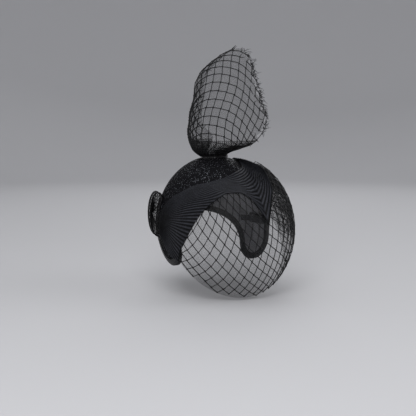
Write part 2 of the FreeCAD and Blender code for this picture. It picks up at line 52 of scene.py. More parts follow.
def place_camera():
    """A portrait lens at head height, 30 degrees round to the wearer's right and a little above."""
    camera = bpy.data.objects.new("camera", bpy.data.cameras.new("camera"))
    bpy.context.collection.objects.link(camera)
    camera.data.lens = 85
    camera.data.sensor_width = 36
    azimuth, elevation, distance = math.radians(-30), math.radians(6), 1.330
    back = Vector((math.sin(azimuth), -math.cos(azimuth), math.tan(elevation))).normalized()
    right = Vector((math.cos(azimuth), math.sin(azimuth), 0))
    up = back.cross(right)
    target = Vector((-0.0117, -0.0014, -0.0671))
    turn = Matrix((right, up, back)).transposed().to_4x4()
    camera.matrix_world = Matrix.Translation(target + back * distance) @ turn
    bpy.context.scene.camera = camera


place_camera()

# ---------------------------------------------------------------- sizes, most of them as in part.py

HEAD_CENTRE = np.array((0.0, 0.0, -90.0))
HEAD_AXES = np.array((72.0, 90.0, 90.0))
COVER = 3.2                     # the cap cover's outside, over the head
DOME_CENTRE = np.array((-6.0, -48.0, -91.5))
DOME_AXES = np.array((86.0, 86.0, 97.5))
HEM_HEIGHT = -45.5
HEM_SLOPE = math.radians(54.8)
TURN = math.radians(-30)        # the sweep of the band and plume round to the wearer's right
FRONT_RADIUS, FRONT_BACK = 60.0, -81.0
LOBE_RADIUS, LOBE_BACK, LOBE_HEIGHT = 28.0, 5.0, -112.0
NAPE_RADIUS, NAPE_BACK = 74.0, 100.0

# Azimuth and height of the band's sewn edge on the cap, then of its flared edge on the dome, and that
# edge's distance off the dome. The first ones are gathered over the rosette. Before TIP_STATION the sewn
# edge isn't part.py's, and the braid lies up to 45 mm from the CAD band there.
BAND_STATIONS = [
    (-86, -109, -84, -126, 1.0),
    (-93, -100, -78, -112, 1.0),
    (-97, -88, -70, -96, 1.0),
    (-95, -73, -62, -76, 1.0),
    (-87, -56, -54, -59, 1.0),
    (-71, -42, -44, -46, 1.0),
    (-54, -33, -32, -37, 1.0),
    (-36, -28, -21, -37, 1.0),
    (-18, -22, -11, -44, 1.0),
    (-4, -16, -4, -57, 1.0),
    (10, -12, 4, -77, 1.0),
    (24, -7, 11, -50, 1.0),
    (38, -3, 19, -32, 1.0),
    (53, 0, 30, -10, 1.0),
    (56, -10, 44, -17, -4.0),
    (58, -22, 56, -32, -5.0),
    (62, -38, 62, -48, -6.0),
]
OVER_ROSETTE = (5.4, 5.4, 5.4, 5.4, 4.0, 1.0)   # how far the first stations lie over the cap
TIP_STATION = 10
VEIL_UNDER_TO = 13              # from here on the veil passes outside the band

# Height over the neck, then the plume's reach to the wearer's right and left of its own axis.
PLUME_SECTIONS = [
    (-2.4, -18, 13),
    (-0.9, -18.8, 14),
    (1.4, -24, 16),
    (4.6, -28, 22),
    (8.5, -31, 33),
    (15, -34, 49.5),
    (22, -36, 57),
    (34, -37, 65),
    (50, -35, 68),
    (76, -29, 61),
    (95, -27, 56),
    (110, -20, 51),
    (122, -8, 48),
    (134, 8, 43),
    (142, 24, 38),
]
NECK_HEIGHT = 4.6

# ---------------------------------------------------------------- small maths


def unit(vector):
    return vector / np.linalg.norm(vector)


def smooth_line(xs, ys):
    """A smooth line through points that never overshoots them."""
    xs, ys = np.asarray(xs, float), np.asarray(ys, float)
    gaps = np.diff(xs)
    rises = np.diff(ys) / gaps
    slopes = np.zeros(len(xs))
    slopes[0], slopes[-1] = rises[0], rises[-1]
    same = rises[:-1] * rises[1:] > 0
    inner = np.zeros(len(rises) - 1)
    inner[same] = 2 * rises[:-1][same] * rises[1:][same] / (rises[:-1][same] + rises[1:][same])
    slopes[1:-1] = inner

    def value(x):
        x = min(max(x, xs[0]), xs[-1])
        k = min(int(np.searchsorted(xs, x, side="right")) - 1, len(gaps) - 1)
        t = (x - xs[k]) / gaps[k]
        start = (1 + 2 * t) * (1 - t) ** 2 * ys[k] + t * (1 - t) ** 2 * gaps[k] * slopes[k]
        return start + t**2 * (3 - 2 * t) * ys[k + 1] + t**2 * (t - 1) * gaps[k] * slopes[k + 1]

    return value


def on_ellipsoid(centre, axes, azimuth, height):
    """A point at a height, at an azimuth from the face towards the wearer's left."""
    spread = math.sqrt(max(0.0, 1 - ((height - centre[2]) / axes[2]) ** 2))
    east, south = math.sin(math.radians(azimuth)), math.cos(math.radians(azimuth))
    reach = spread / math.hypot(east / axes[0], south / axes[1])
    return np.array((centre[0] + reach * east, centre[1] - reach * south, height))


def over_head(point, offset):
    """Over 1 outside the head grown by an offset, under 1 inside it."""
    return np.linalg.norm((point - HEAD_CENTRE) / (HEAD_AXES + offset))


def onto_head(point, offset):
    """The point moved straight from the head's centre onto the head grown by an offset."""
    return HEAD_CENTRE + (point - HEAD_CENTRE) / over_head(point, offset)


# ---------------------------------------------------------------- meshes


def piece(name, points, faces, finish, uvs=None, body=RECORD_BODY):
    """A mesh object that rides on a body and takes the finish it is given."""
    mesh = bpy.data.meshes.new(name)
    mesh.from_pydata((np.asarray(points) * MM).tolist(), [], faces)
    mesh.materials.append(finish)
    if uvs is not None:
        corners = np.empty(len(mesh.loops), dtype=np.int32)
        mesh.loops.foreach_get("vertex_index", corners)
        layer = mesh.uv_layers.new(name="UVMap")
        layer.data.foreach_set("uv", np.asarray(uvs, float)[corners].ravel())
    mesh.shade_smooth()
    mesh.update()
    obj = bpy.data.objects.new(name, mesh)
    bpy.context.collection.objects.link(obj)
    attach(obj, body)
    return obj


def grid_faces(rows, columns, closed=False):
    """Quads between rows of points, the last column joined to the first if closed."""
    faces = []
    for row in range(rows - 1):
        for column in range(columns if closed else columns - 1):
            after = (column + 1) % columns
            here, above = row * columns, (row + 1) * columns
            faces.append((here + column, here + after, above + after, above + column))
    return faces


def only_used(points, faces, *extras):
    """Drops the points that no face uses."""
    used = sorted({index for face in faces for index in face})
    place = {old: new for new, old in enumerate(used)}
    faces = [tuple(place[index] for index in face) for face in faces]
    return [np.asarray(points)[used], faces] + [np.asarray(extra)[used] for extra in extras]


class Threads:
    """Round threads and knots collected into one mesh."""

    def __init__(self, sides=6):
        self.sides = sides
        self.points = []
        self.faces = []
        self.count = 0

    def add(self, path, radius, facing, closed=False):
        """A thread along a path; facing is a direction across it, one for all or one for each point."""
        path = np.asarray(path, float)
        total = len(path)
        if closed:
            along = np.roll(path, -1, axis=0) - np.roll(path, 1, axis=0)
        else:
            along = np.gradient(path, axis=0)
        along /= np.linalg.norm(along, axis=1)[:, None]
        facing = np.broadcast_to(np.asarray(facing, float), path.shape)
        side = np.cross(along, facing)
        side /= np.linalg.norm(side, axis=1)[:, None]
        up = np.cross(side, along)
        radius = np.broadcast_to(np.asarray(radius, float), (total,))
        start = self.count
        for turn in range(self.sides):
            angle = 2 * math.pi * turn / self.sides
            ring = path + (side * math.cos(angle) + up * math.sin(angle)) * radius[:, None]
            self.points.append(ring)
        for step in range(total if closed else total - 1):
            ahead = (step + 1) % total
            for turn in range(self.sides):
                here, beside = start + turn * total, start + (turn + 1) % self.sides * total
                self.faces.append((here + step, here + ahead, beside + ahead, beside + step))
        if not closed:
            first = [start + turn * total for turn in range(self.sides)]
            self.faces.append(tuple(first))
            self.faces.append(tuple(index + total - 1 for index in reversed(first)))
        self.count += total * self.sides

    def knot(self, middle, radius, along, facing, stretch=1.25):
        """A small round knot, a little longer along one direction."""
        along = unit(along)
        side = unit(np.cross(along, facing))
        up = np.cross(side, along)
        start = self.count
        rings = (-0.7, 0.0, 0.7)
        points = [middle - along * radius * stretch]
        for level in rings:
            reach = radius * math.sqrt(1 - level**2)
            for turn in range(6):
                angle = math.pi * turn / 3
                points.append(
                    middle
                    + along * (radius * stretch * level)
                    + (side * math.cos(angle) + up * math.sin(angle)) * reach
                )
        points.append(middle + along * radius * stretch)
        self.points.append(np.array(points))
        for turn in range(6):
            after = (turn + 1) % 6
            self.faces.append((start, start + 1 + after, start + 1 + turn))
            for ring in range(2):
                low, high = start + 1 + 6 * ring, start + 7 + 6 * ring
                self.faces.append((low + turn, low + after, high + after, high + turn))
            self.faces.append((start + 13 + turn, start + 13 + after, start + 19))
        self.count += 20

    def piece(self, name, finish, slot, body=RECORD_BODY):
        return piece(name, np.vstack(self.points), self.faces, finish, body=body)


# ---------------------------------------------------------------- finishes


class Finish:
    """A node material around one Principled shader."""

    def __init__(self, name, colour, roughness, **sockets):
        self.material = bpy.data.materials.new(name)
        self.material.use_nodes = True
        self.tree = self.material.node_tree
        self.shader = self.tree.nodes["Principled BSDF"]
        self.set("Base Color", (*colour, 1.0))
        self.set("Roughness", roughness)
        self.set("Specular IOR Level", 0.3)
        for socket, value in sockets.items():
            self.set(socket.replace("_", " "), value)

    def set(self, socket, value):
        self.shader.inputs[socket].default_value = value

    def add(self, kind, inputs=(), **settings):
        """A node with its settings, and with links or values for its first inputs or named ones."""
        new = self.tree.nodes.new("ShaderNode" + kind)
        for setting, value in settings.items():
            setattr(new, setting, value)
        pairs = inputs.items() if isinstance(inputs, dict) else enumerate(inputs)
        for socket, value in pairs:
            if isinstance(value, bpy.types.NodeSocket):
                self.tree.links.new(value, new.inputs[socket])
            elif value is not None:
                new.inputs[socket].default_value = value
        return new

    def maths(self, operation, *values):
        return self.add("Math", values, operation=operation).outputs[0]

    def link(self, output, socket):
        self.tree.links.new(output, self.shader.inputs[socket])

    def place(self, kind="Object"):
        """Texture coordinates in millimetres of the object, or of the cloth for a UV map."""
        coordinates = self.add("TexCoord").outputs[kind]
        factor = 1000.0 if kind == "Object" else 1.0
        return self.add("VectorMath", (coordinates, (factor,) * 3), operation="MULTIPLY").outputs[0]

    def fleck(self, place, size, low, high):
        """Soft variation between two values at a size in millimetres."""
        texture = self.add("TexNoise", {"Vector": place, "Scale": 1 / size, "Detail": 3.0})
        spread = self.add("MapRange", {0: texture.outputs["Fac"], 1: 0.3, 2: 0.7, 3: low, 4: high})
        return spread.outputs[0]

    def bump(self, height, depth, strength=1.0):
        """Relief from a height between 0 and 1 and its depth in millimetres."""
        new = self.add("Bump", {"Height": height, "Distance": depth * MM, "Strength": strength})
        self.link(new.outputs[0], "Normal")

    def tint(self, share, dark, light):
        """Base colour that runs from dark to light with a share."""
        mix = self.add("Mix", data_type="RGBA")
        self.tree.links.new(share, mix.inputs["Factor"])
        mix.inputs["A"].default_value = (*dark, 1)
        mix.inputs["B"].default_value = (*light, 1)
        self.link(mix.outputs["Result"], "Base Color")


def thread_finish(name, dark, light, roughness, twist=0.9):
    """Dyed thread: fine fibres and a slightly uneven black."""
    finish = Finish(name, dark, roughness)
    place = finish.place()
    finish.tint(finish.fleck(place, 6.0, 0.0, 1.0), dark, light)
    fibres = finish.add("TexNoise", {"Vector": place, "Scale": 1 / twist, "Detail": 4.0})
    finish.bump(fibres.outputs["Fac"], 0.25, 0.7)
    finish.link(finish.fleck(place, 3.0, roughness - 0.1, roughness + 0.12), "Roughness")
    return finish.material


def woven_finish(name, dark, light, roughness, pitch, depth):
    """Plain weave: threads over and under each other along all three axes of the object."""
    finish = Finish(name, dark, roughness, Sheen_Weight=0.05, Sheen_Roughness=0.35)
    place = finish.place()
    cells = finish.add("SeparateXYZ", (place,))
    turned = [
        finish.maths("SINE", finish.maths("MULTIPLY", axis, 2 * math.pi / pitch))
        for axis in cells.outputs
    ]
    weave = finish.maths("MULTIPLY", finish.maths("MULTIPLY", turned[0], turned[1]), turned[2])
    cross = finish.maths("ADD", finish.maths("MULTIPLY", turned[1], turned[2]), weave)
    finish.bump(finish.maths("MULTIPLY_ADD", cross, 0.25, 0.5), depth, 0.8)
    finish.tint(finish.fleck(place, 9.0, 0.0, 1.0), dark, light)
    finish.link(finish.fleck(place, 4.0, roughness - 0.08, roughness + 0.1), "Roughness")
    return finish.material


def ribbed_finish(name, dark, light, roughness, pitch, depth):
    """Grosgrain: round ribs across the tape, which runs mostly along Y."""
    finish = Finish(name, dark, roughness, Sheen_Weight=0.05, Sheen_Roughness=0.3)
    place = finish.place()
    axes = finish.add("SeparateXYZ", (place,))
    ribs = finish.maths("SINE", finish.maths("MULTIPLY", axes.outputs[1], 2 * math.pi / pitch))
    finish.bump(finish.maths("MULTIPLY_ADD", ribs, 0.5, 0.5), depth, 0.8)
    finish.tint(finish.fleck(place, 12.0, 0.0, 1.0), dark, light)
    finish.link(finish.fleck(place, 5.0, roughness - 0.08, roughness + 0.1), "Roughness")
    return finish.material


def metal_finish(name, colour, roughness):
    """Bright metal with fine drawing marks and faint wear."""
    finish = Finish(name, colour, roughness, Metallic=1.0)
    place = finish.place()
    stretched = finish.add("VectorMath", (place, (4.0, 0.4, 4.0)), operation="MULTIPLY").outputs[0]
    marks = finish.add("TexNoise", {"Vector": stretched, "Scale": 2.5, "Detail": 5.0})
    finish.bump(marks.outputs["Fac"], 0.05, 0.35)
    wear = finish.fleck(place, 5.0, roughness - 0.08, roughness + 0.15)
    finish.link(wear, "Roughness")
    finish.tint(finish.fleck(place, 8.0, 0.0, 1.0), tuple(0.8 * value for value in colour), colour)
    return finish.material


def knit_finish():
    """Black knit with lurex: pebbled loops, and small foil flecks that catch the light."""
    finish = Finish("sparkle_knit", (0.003, 0.003, 0.004), 0.8)
    finish.set("Specular IOR Level", 0.08)
    place = finish.place()
    flakes = finish.add("TexVoronoi", {"Vector": place, "Scale": 1 / 0.75})
    tone = finish.add("SeparateColor", (flakes.outputs["Color"],))
    foil = finish.maths("GREATER_THAN", tone.outputs[0], 0.945)
    finish.link(finish.maths("MULTIPLY", foil, 0.9), "Metallic")
    finish.tint(foil, (0.003, 0.003, 0.004), (0.20, 0.21, 0.235))
    rough = finish.maths("MULTIPLY_ADD", foil, -0.5, 0.8)
    finish.link(rough, "Roughness")
    tilt = finish.maths("MULTIPLY", finish.maths("MULTIPLY", tone.outputs[1], foil), 1.5)
    yarn = finish.add("TexNoise", {"Vector": place, "Scale": 1 / 0.5, "Detail": 4.0})
    relief = finish.maths("MULTIPLY_ADD", yarn.outputs["Fac"], 0.6, tilt)
    finish.bump(relief, 0.35, 1.0)
    return finish.material


def sheer_finish(name, colour, pitch, cover, thread_share, crowded=0.0):
    """Fine net: alpha from two families of threads in the cloth's own UV millimetres.

    cover is the alpha between the threads, for the finest fibres, thread_share the threads' width, and
    crowded how far up the cloth its gathers still close it."""
    finish = Finish(name, colour, 0.6)
    place = finish.place("UV")
    axes = finish.add("SeparateXYZ", (place,))
    lines = []
    for lean in (1.0, -1.0):
        across = finish.maths("MULTIPLY_ADD", axes.outputs[1], lean * 0.58, axes.outputs[0])
        phase = finish.maths("FRACT", finish.maths("MULTIPLY", across, 1 / pitch))
        distance = finish.maths("ABSOLUTE", finish.maths("SUBTRACT", phase, 0.5))
        lines.append(finish.maths("LESS_THAN", distance, thread_share / 2))
    threads = finish.maths("MAXIMUM", lines[0], lines[1])
    alpha = finish.maths("MULTIPLY_ADD", threads, 0.75 - cover, cover)
    if crowded:
        closed = finish.add("MapRange", {0: axes.outputs[1], 1: 0.0, 2: crowded, 3: 0.8, 4: 0.0})
        alpha = finish.maths("MAXIMUM", alpha, closed.outputs[0])
    finish.link(alpha, "Alpha")
    finish.material.surface_render_method = "DITHERED"
    return finish.material


def braid_finish():
    """Horsehair braid: glossy charcoal nylon, plaited on the bias, with a fine thread relief. Its colour
    has painted light on the ribs' crests, painted shade in their valleys and painted shade round the gather
    hub.
    """
    finish = Finish("horsehair_braid", (0.006, 0.006, 0.008), 0.45)
    finish.set("Specular IOR Level", 0.1)
    place = finish.place("UV")
    axes = finish.add("SeparateXYZ", (place,))
    waves = []
    for lean in (1.0, -1.0):
        across = finish.maths("MULTIPLY_ADD", axes.outputs[1], lean, axes.outputs[0])
        waves.append(finish.maths("SINE", finish.maths("MULTIPLY", across, 2 * math.pi / 1.1)))
    plait = finish.maths("MAXIMUM", waves[0], waves[1])
    finish.bump(finish.maths("MULTIPLY_ADD", plait, 0.5, 0.5), 0.12, 0.7)
    object_place = finish.place()
    # painted light and shade: the ribs' crests are coloured lighter and their valleys darker, standing in
    # for the light on the relief
    turned = finish.maths("MULTIPLY", axes.outputs[0], math.pi / RIB_SPACING)
    crest = finish.maths("ABSOLUTE", finish.maths("SINE", turned))
    patch = finish.maths("MULTIPLY", finish.fleck(object_place, 9.0, 0.6, 1.0),
                         finish.fleck(object_place, 1.6, 0.45, 1.0))
    # painted shade: the colour darkens towards the gather hub, where the braid's folds would shade it; the
    # same mask raises the roughness there
    hub = finish.add("VectorMath", (object_place, GATHER_HUB), operation="DISTANCE").outputs["Value"]
    painted_hub_shade = finish.add("MapRange", {0: hub, 1: 8.0, 2: 42.0, 3: 0.08, 4: 1.0}).outputs[0]
    painted_rib_light = finish.maths("MULTIPLY", finish.maths("POWER", crest, 3.0), painted_hub_shade)
    painted_light_and_tone = finish.maths("MULTIPLY", painted_rib_light, patch)
    # colour runs from near black to charcoal by the painted light and shade, mixed with random tone from
    # patch
    finish.tint(painted_light_and_tone, (0.0008, 0.0008, 0.0012), (0.044, 0.046, 0.056))
    uneven = finish.fleck(object_place, 4.0, 0.84, 1.0)
    finish.link(finish.maths("MULTIPLY_ADD", painted_hub_shade, -0.36, uneven), "Roughness")
    return finish.material


RIB_SPACING = 3.4               # of the braid's ribs
GATHER_HUB = (-78.0, -5.0, -86.0)   # where the braid is gathered; its colour is darkened round here as painted shade of its own folds
BLACK = (0.003, 0.003, 0.004)
SOFT_BLACK = (0.008, 0.008, 0.010)
NET_THREAD = thread_finish("net_thread", (0.0015, 0.0015, 0.002), (0.004, 0.004, 0.005), 0.7)
KNOT_THREAD = thread_finish("knot_thread", (0.001, 0.001, 0.001), (0.003, 0.003, 0.0035), 0.75, twist=0.5)
SEWING_THREAD = thread_finish("sewing_thread", BLACK, SOFT_BLACK, 0.5, twist=0.4)
BRAID = braid_finish()
KNIT = knit_finish()
TULLE = sheer_finish("fine_tulle", (0.004, 0.004, 0.005), 1.3, 0.13, 0.24)
PLUME_TULLE = sheer_finish("plume_tulle_net", (0.004, 0.004, 0.005), 1.3, 0.13, 0.24, crowded=26.0)
DENSE_TULLE = sheer_finish("double_tulle", (0.004, 0.004, 0.005), 1.3, 0.03, 0.14)
LOOP_TULLE = sheer_finish("folded_tulle", (0.004, 0.004, 0.005), 1.2, 0.5, 0.34)
CRINOLINE = sheer_finish("pleated_crinoline", (0.003, 0.003, 0.004), 1.1, 0.62, 0.30)
LINING = woven_finish("lining_cloth", (0.33, 0.33, 0.35), (0.40, 0.40, 0.42), 0.45, 0.9, 0.12)
BUCKRAM = woven_finish("buckram", (0.03, 0.028, 0.026), (0.05, 0.047, 0.042), 0.8, 1.6, 0.3)
TAPE = ribbed_finish("edge_tape", (0.004, 0.004, 0.005), (0.009, 0.009, 0.011), 0.55, 1.2, 0.2)
RIBBON = ribbed_finish("petersham_ribbon", (0.22, 0.22, 0.235), (0.28, 0.28, 0.295), 0.5, 1.5, 0.25)
WIRE = thread_finish("millinery_wire", (0.012, 0.012, 0.014), (0.03, 0.03, 0.032), 0.6, twist=0.6)
CLIP_METAL = metal_finish("clip_metal", (0.045, 0.045, 0.05), 0.35)
PIN_METAL = metal_finish("pin_metal", (0.55, 0.54, 0.52), 0.25)
SPRING_STEEL = metal_finish("spring_steel", (0.42, 0.42, 0.44), 0.28)


def dress(node, finish):
    """Gives a CAD node its finish."""
    mesh = NODES[node].data
    mesh.materials.clear()
    mesh.materials.append(finish)


for node_name, node_finish in (
    ("cap_lining", LINING),
    ("cap_shell", BUCKRAM),
    ("rim_wire", WIRE),
    ("rim_binding", TAPE),
    ("head_ribbon", RIBBON),
    ("band_stitches", SEWING_THREAD),
    ("veil_stitches", SEWING_THREAD),
):
    dress(node_name, node_finish)
for side in ("right", "left"):
    dress(side + "_clip_base", CLIP_METAL)
    dress(side + "_clip_jaw", CLIP_METAL)
    dress(side + "_clip_pin", PIN_METAL)
    dress(side + "_clip_spring", SPRING_STEEL)
    dress(side + "_clip_stitches", SEWING_THREAD)

# ---------------------------------------------------------------- nets on curved surfaces


class Dome:
    """The face veil's own surface, before it tucks under the band."""

    def __init__(self, offset=0.0):
        self.axes = DOME_AXES + offset

    def onto(self, point):
        ray = point - DOME_CENTRE
        return DOME_CENTRE + ray / np.linalg.norm(ray / self.axes)

    def normal(self, point):
        return unit((point - DOME_CENTRE) / self.axes**2)


class Plume:
    """The plume's rolled surface, in its own turned frame over the neck."""

    def __init__(self, offset=0.0):
        heights = [row[0] for row in PLUME_SECTIONS]
        radii = [0.54 * (right - left) for _, left, right in PLUME_SECTIONS]
        middles = [left + radius for (_, left, _), radius in zip(PLUME_SECTIONS, radii)]
        self.radius = smooth_line(heights, radii)
        self.middle = smooth_line(heights, middles)
        self.offset = offset

    def shape(self, point):
        """How far a point is outside the surface, and the direction out of it."""
        height = point[2]
        step = 0.5
        across, depth = point[0] - self.middle(height), point[1]
        reach = math.hypot(across, depth)
        lean = (self.middle(height + step) - self.middle(height - step)) / (2 * step)
        swell = (self.radius(height + step) - self.radius(height - step)) / (2 * step)
        slope = np.array((across / reach, depth / reach, -across / reach * lean - swell))
        return reach - self.radius(height) - self.offset, slope

    def onto(self, point):
        for _ in range(3):
            gap, slope = self.shape(point)
            point = point - slope * gap / (slope @ slope)
        return point

    def normal(self, point):
        return unit(self.shape(point)[1])

    def front_angle(self, height):
        """Where the roll ends on the wearer's left, measured from its right side round the front."""
        radius = self.radius(height)
        return math.acos(max(-1.0, min(1.0, (self.middle(height) - self.reach(height)) / radius)))

    def reach(self, height):
        rights = smooth_line([row[0] for row in PLUME_SECTIONS], [row[2] for row in PLUME_SECTIONS])
        return rights(height)

    def rim(self, angle, height, offset=0.0):
        """A point of the roll at an angle and a height, in its own frame."""
        reach = self.radius(height) + self.offset + offset
        return np.array(
            (self.middle(height) - math.cos(angle) * reach, -math.sin(angle) * reach, height)
        )


def plume_to_row(points):
    """From the plume's frame to the row frame."""
    points = np.asarray(points, float)
    cosine, sine = math.cos(TURN), math.sin(TURN)
    x = points[..., 0] * cosine - points[..., 1] * sine
    y = points[..., 0] * sine + points[..., 1] * cosine
    return np.stack((x, y, points[..., 2] + NECK_HEIGHT), axis=-1)


class Drape:
    """A square-celled net laid over a surface: the cells' sides keep their length, only angles shear."""

    def __init__(self, surface, start, headings, bends, sides, extents):
        self.surface = surface
        self.nodes = {(0, 0): start}
        for family in (0, 1):
            for sign in (1, -1):
                self.first_line(family, sign, start, headings[family], bends[family], sides[family],
                                extents[family][0 if sign < 0 else 1])
        for sign_a in (1, -1):
            for sign_b in (1, -1):
                self.fill(sign_a, sign_b, sides, extents)

    def first_line(self, family, sign, start, heading, bend, length, count):
        """The thread through the start, which turns a little at each knot."""
        point = start
        normal = self.surface.normal(point)
        east = unit(np.cross((0, 0, 1.0), normal))
        north = np.cross(normal, east)
        angle = math.radians(heading + (0 if sign > 0 else 180))
        ahead = east * math.cos(angle) + north * math.sin(angle)
        for step in range(count):
            turn = math.radians(bend(step) if sign > 0 else -bend(-step - 1))
            normal = self.surface.normal(point)
            ahead = unit(ahead - normal * (ahead @ normal))
            ahead = ahead * math.cos(turn) + np.cross(normal, ahead) * math.sin(turn)
            new = self.surface.onto(point + ahead * length)
            for _ in range(4):
                new = self.surface.onto(point + unit(new - point) * length)
            ahead, point = new - point, new
            key = (sign * (step + 1), 0) if family == 0 else (0, sign * (step + 1))
            self.nodes[key] = point

    def fill(self, sign_a, sign_b, sides, extents):
        for i in range(1, extents[0][0 if sign_a < 0 else 1] + 1):
            for j in range(1, extents[1][0 if sign_b < 0 else 1] + 1):
                a = self.nodes.get((sign_a * (i - 1), sign_b * j))
                b = self.nodes.get((sign_a * i, sign_b * (j - 1)))
                corner = self.nodes.get((sign_a * (i - 1), sign_b * (j - 1)))
                if a is None or b is None or corner is None:
                    continue
                found = self.fourth(a, b, corner, sides)
                if found is not None:
                    self.nodes[(sign_a * i, sign_b * j)] = found

    def fourth(self, a, b, corner, sides):
        """The fourth corner of a cell, at the right distance from both neighbours and on the surface."""
        point = self.surface.onto(a + b - corner)
        for _ in range(25):
            from_a, from_b = point - a, point - b
            length_a, length_b = np.linalg.norm(from_a), np.linalg.norm(from_b)
            rows = np.array((from_a / length_a, from_b / length_b, self.surface.normal(point)))
            lift = rows[2] @ (self.surface.onto(point) - point)
            if abs(np.linalg.det(rows)) < 1e-6:
                return None
            move = np.linalg.solve(rows, (sides[0] - length_a, sides[1] - length_b, lift))
            far = np.linalg.norm(move)
            point = point + move * min(1.0, 3.0 / max(far, 1e-9))
            if far < 1e-4:
                return point
        return None

    def edges(self):
        """Each side of a cell once, with the family it belongs to."""
        for (i, j) in sorted(self.nodes):
            for family, other in ((0, (i + 1, j)), (1, (i, j + 1))):
                if other in self.nodes:
                    yield (i, j), other, family


def bending(terms, low, high, unit_steps, fade):
    """Turn in degrees at each knot: a short polynomial inside a range, fading out beyond it."""

    def bend(step):
        inside = min(max(step, low), high)
        value = sum(term * (inside / unit_steps) ** power for power, term in enumerate(terms))
        beyond = abs(step - inside)
        return value * max(0.0, 1 - beyond / fade)

    return bend


# ---------------------------------------------------------------- horsehair band

BAND_BULGE = 3.5
BAND_LAST = len(BAND_STATIONS) - 1


class Band:
    """The stiff braid: smooth edges through the stations, with rulings that bulge between them."""

    def __init__(self):
        sewn, flared = [], []
        for station, row in enumerate(BAND_STATIONS):
            cap_azimuth, cap_height, rim_azimuth, rim_height, stand_off = row
            over = OVER_ROSETTE[station] if station < len(OVER_ROSETTE) else 0.0
            cap = HEAD_AXES + COVER + 1.0 + over
            sewn.append(on_ellipsoid(HEAD_CENTRE, cap, cap_azimuth, cap_height))
            flared.append(on_ellipsoid(DOME_CENTRE, DOME_AXES + stand_off, rim_azimuth, rim_height))
        self.sewn = self.edge(sewn, BAND_LAST)
        self.flared = self.edge(flared, TIP_STATION)

    @staticmethod
    def edge(points, corner):
        """A smooth line through the stations, with one corner."""
        points = np.array(points)
        halves = []
        for part in (slice(0, corner + 1), slice(corner, None)):
            stations = np.arange(len(points))[part]
            if len(stations) > 1:
                halves.append([smooth_line(stations, points[part, axis]) for axis in range(3)])
        return lambda s: np.array([axis(s) for axis in halves[0 if s <= corner else 1]])

    def rounded(self, s):
        """The flared edge without its corner, for the rulings' run up to the tip."""
        reach = 2.2 * max(0.0, 1 - abs(s - TIP_STATION) / 3.5)
        spots = [min(max(s + reach * share, 0), BAND_LAST) for share in (-1, -0.5, 0, 0.5, 1)]
        return np.mean([self.flared(spot) for spot in spots], axis=0)

    def point(self, s, t):
        """s runs along the band by station, t across it from the sewn edge."""
        near, far = self.sewn(s), self.flared(s)
        soft = self.rounded(s)
        far = soft + (far - soft) * t**3
        out = self.outward(near, far)
        bulge = BAND_BULGE * 4 * t * (1 - t)
        return near + (far - near) * t + out * bulge

    @staticmethod
    def outward(near, far):
        middle = (near + far) * 0.5 - DOME_CENTRE
        across = far - near
        return unit(middle - across * (middle @ across) / (across @ across))


band = Band()

FAN_HUB = 2.6                   # station of the gather over the rosette, from which the ribs fan out
STATION_LONG, BAND_WIDE = 14.0, 48.0
FAN_RIBS = 46                   # ribs in half a turn round the hub


def rib_index(s, t):
    """Which rib passes here, its strength, and how far this is past the fan by the ear, where the ribs
    turn to follow both edges."""
    along, across = (s - FAN_HUB) * STATION_LONG, t * BAND_WIDE + 3.0
    fan = FAN_RIBS * math.atan2(across, -along) / math.pi
    straight = 0.69 * FAN_RIBS + (1 - t) * BAND_WIDE / RIB_SPACING
    share = min(max((s - 4.0) / 3.0, 0.0), 1.0)
    share = share * share * (3 - 2 * share)
    strength = min(math.hypot(along, across) / 22.0, 1.0)
    return fan + (straight - fan) * share, strength, share


def build_band():
    """The braid with its ribs as relief, on closer steps over the fan than beyond it."""
    columns = 110
    steps = [0.035 * step for step in range(186)] + [6.55 + 0.105 * step for step in range(91)]
    steps = [step for step in steps if step < BAND_LAST] + [BAND_LAST]
    along = len(steps)
    points, uvs = [], []
    travelled = 0.0
    before = None
    for s in steps:
        near, far = band.sewn(s), band.flared(s)
        out = band.outward(near, far)
        if before is not None:
            travelled += np.linalg.norm(0.5 * (near + far) - before)
        before = 0.5 * (near + far)
        width = np.linalg.norm(far - near)
        near_tip = max(0.0, 1 - abs(s - TIP_STATION) / 2.5)
        for column in range(columns):
            t = column / (columns - 1)
            fading = 1.0 - near_tip * min(max((t - 0.3) / 0.35, 0.0), 1.0)
            rib, strength, past = rib_index(s, t)
            wander = 0.3 * noise.noise(Vector((s * 1.3, t * 7.0, 0.0)))
            lift = 1.1 * fading * strength * abs(math.sin(math.pi * rib)) + wander
            points.append(band.point(s, t) + out * lift)
            uvs.append((rib * RIB_SPACING, travelled * past + t * width * (1 - past)))
    faces = grid_faces(along, columns)
    obj = piece("band_braid", points, faces, BRAID, uvs=uvs)
    thick = obj.modifiers.new("thickness", "SOLIDIFY")
    thick.thickness = 0.5 * MM
    thick.offset = -1
    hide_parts("horsehair_band")

    edges = Threads(sides=8)
    for line, radius in ((band.flared, 0.4), (band.sewn, 0.6)):
        for low, high in ((0, TIP_STATION), (TIP_STATION, BAND_LAST)):
            path = [line(low + (high - low) * step / 90) for step in range(91)]
            facing = [unit(point - DOME_CENTRE) for point in path]
            edges.add(path, radius, facing)
    # the edges take the braid's finish, with its painted light and shade
    return obj, edges.piece("band_edges", BRAID, "horsehair_braid")


# ---------------------------------------------------------------- face veil

VEIL_CELL = 11.73
VEIL_THREAD = 0.58
LONGEST_SIDE = 6.5              # of a tulle face: longer ones are stretched out from under the band
hem_normal = np.array((0.0, -math.sin(HEM_SLOPE), math.cos(HEM_SLOPE)))


def above_hem(point):
    """Height of a point over the hem's plane."""
    return (point - (0, 0, HEM_HEIGHT)) @ hem_normal


def tree_of(node):
    """A CAD node's surface in millimetres, to measure from."""
    mesh = NODES[node].data
    corners = [vertex.co / MM for vertex in mesh.vertices]
    return BVHTree.FromPolygons(corners, [list(face.vertices) for face in mesh.polygons])


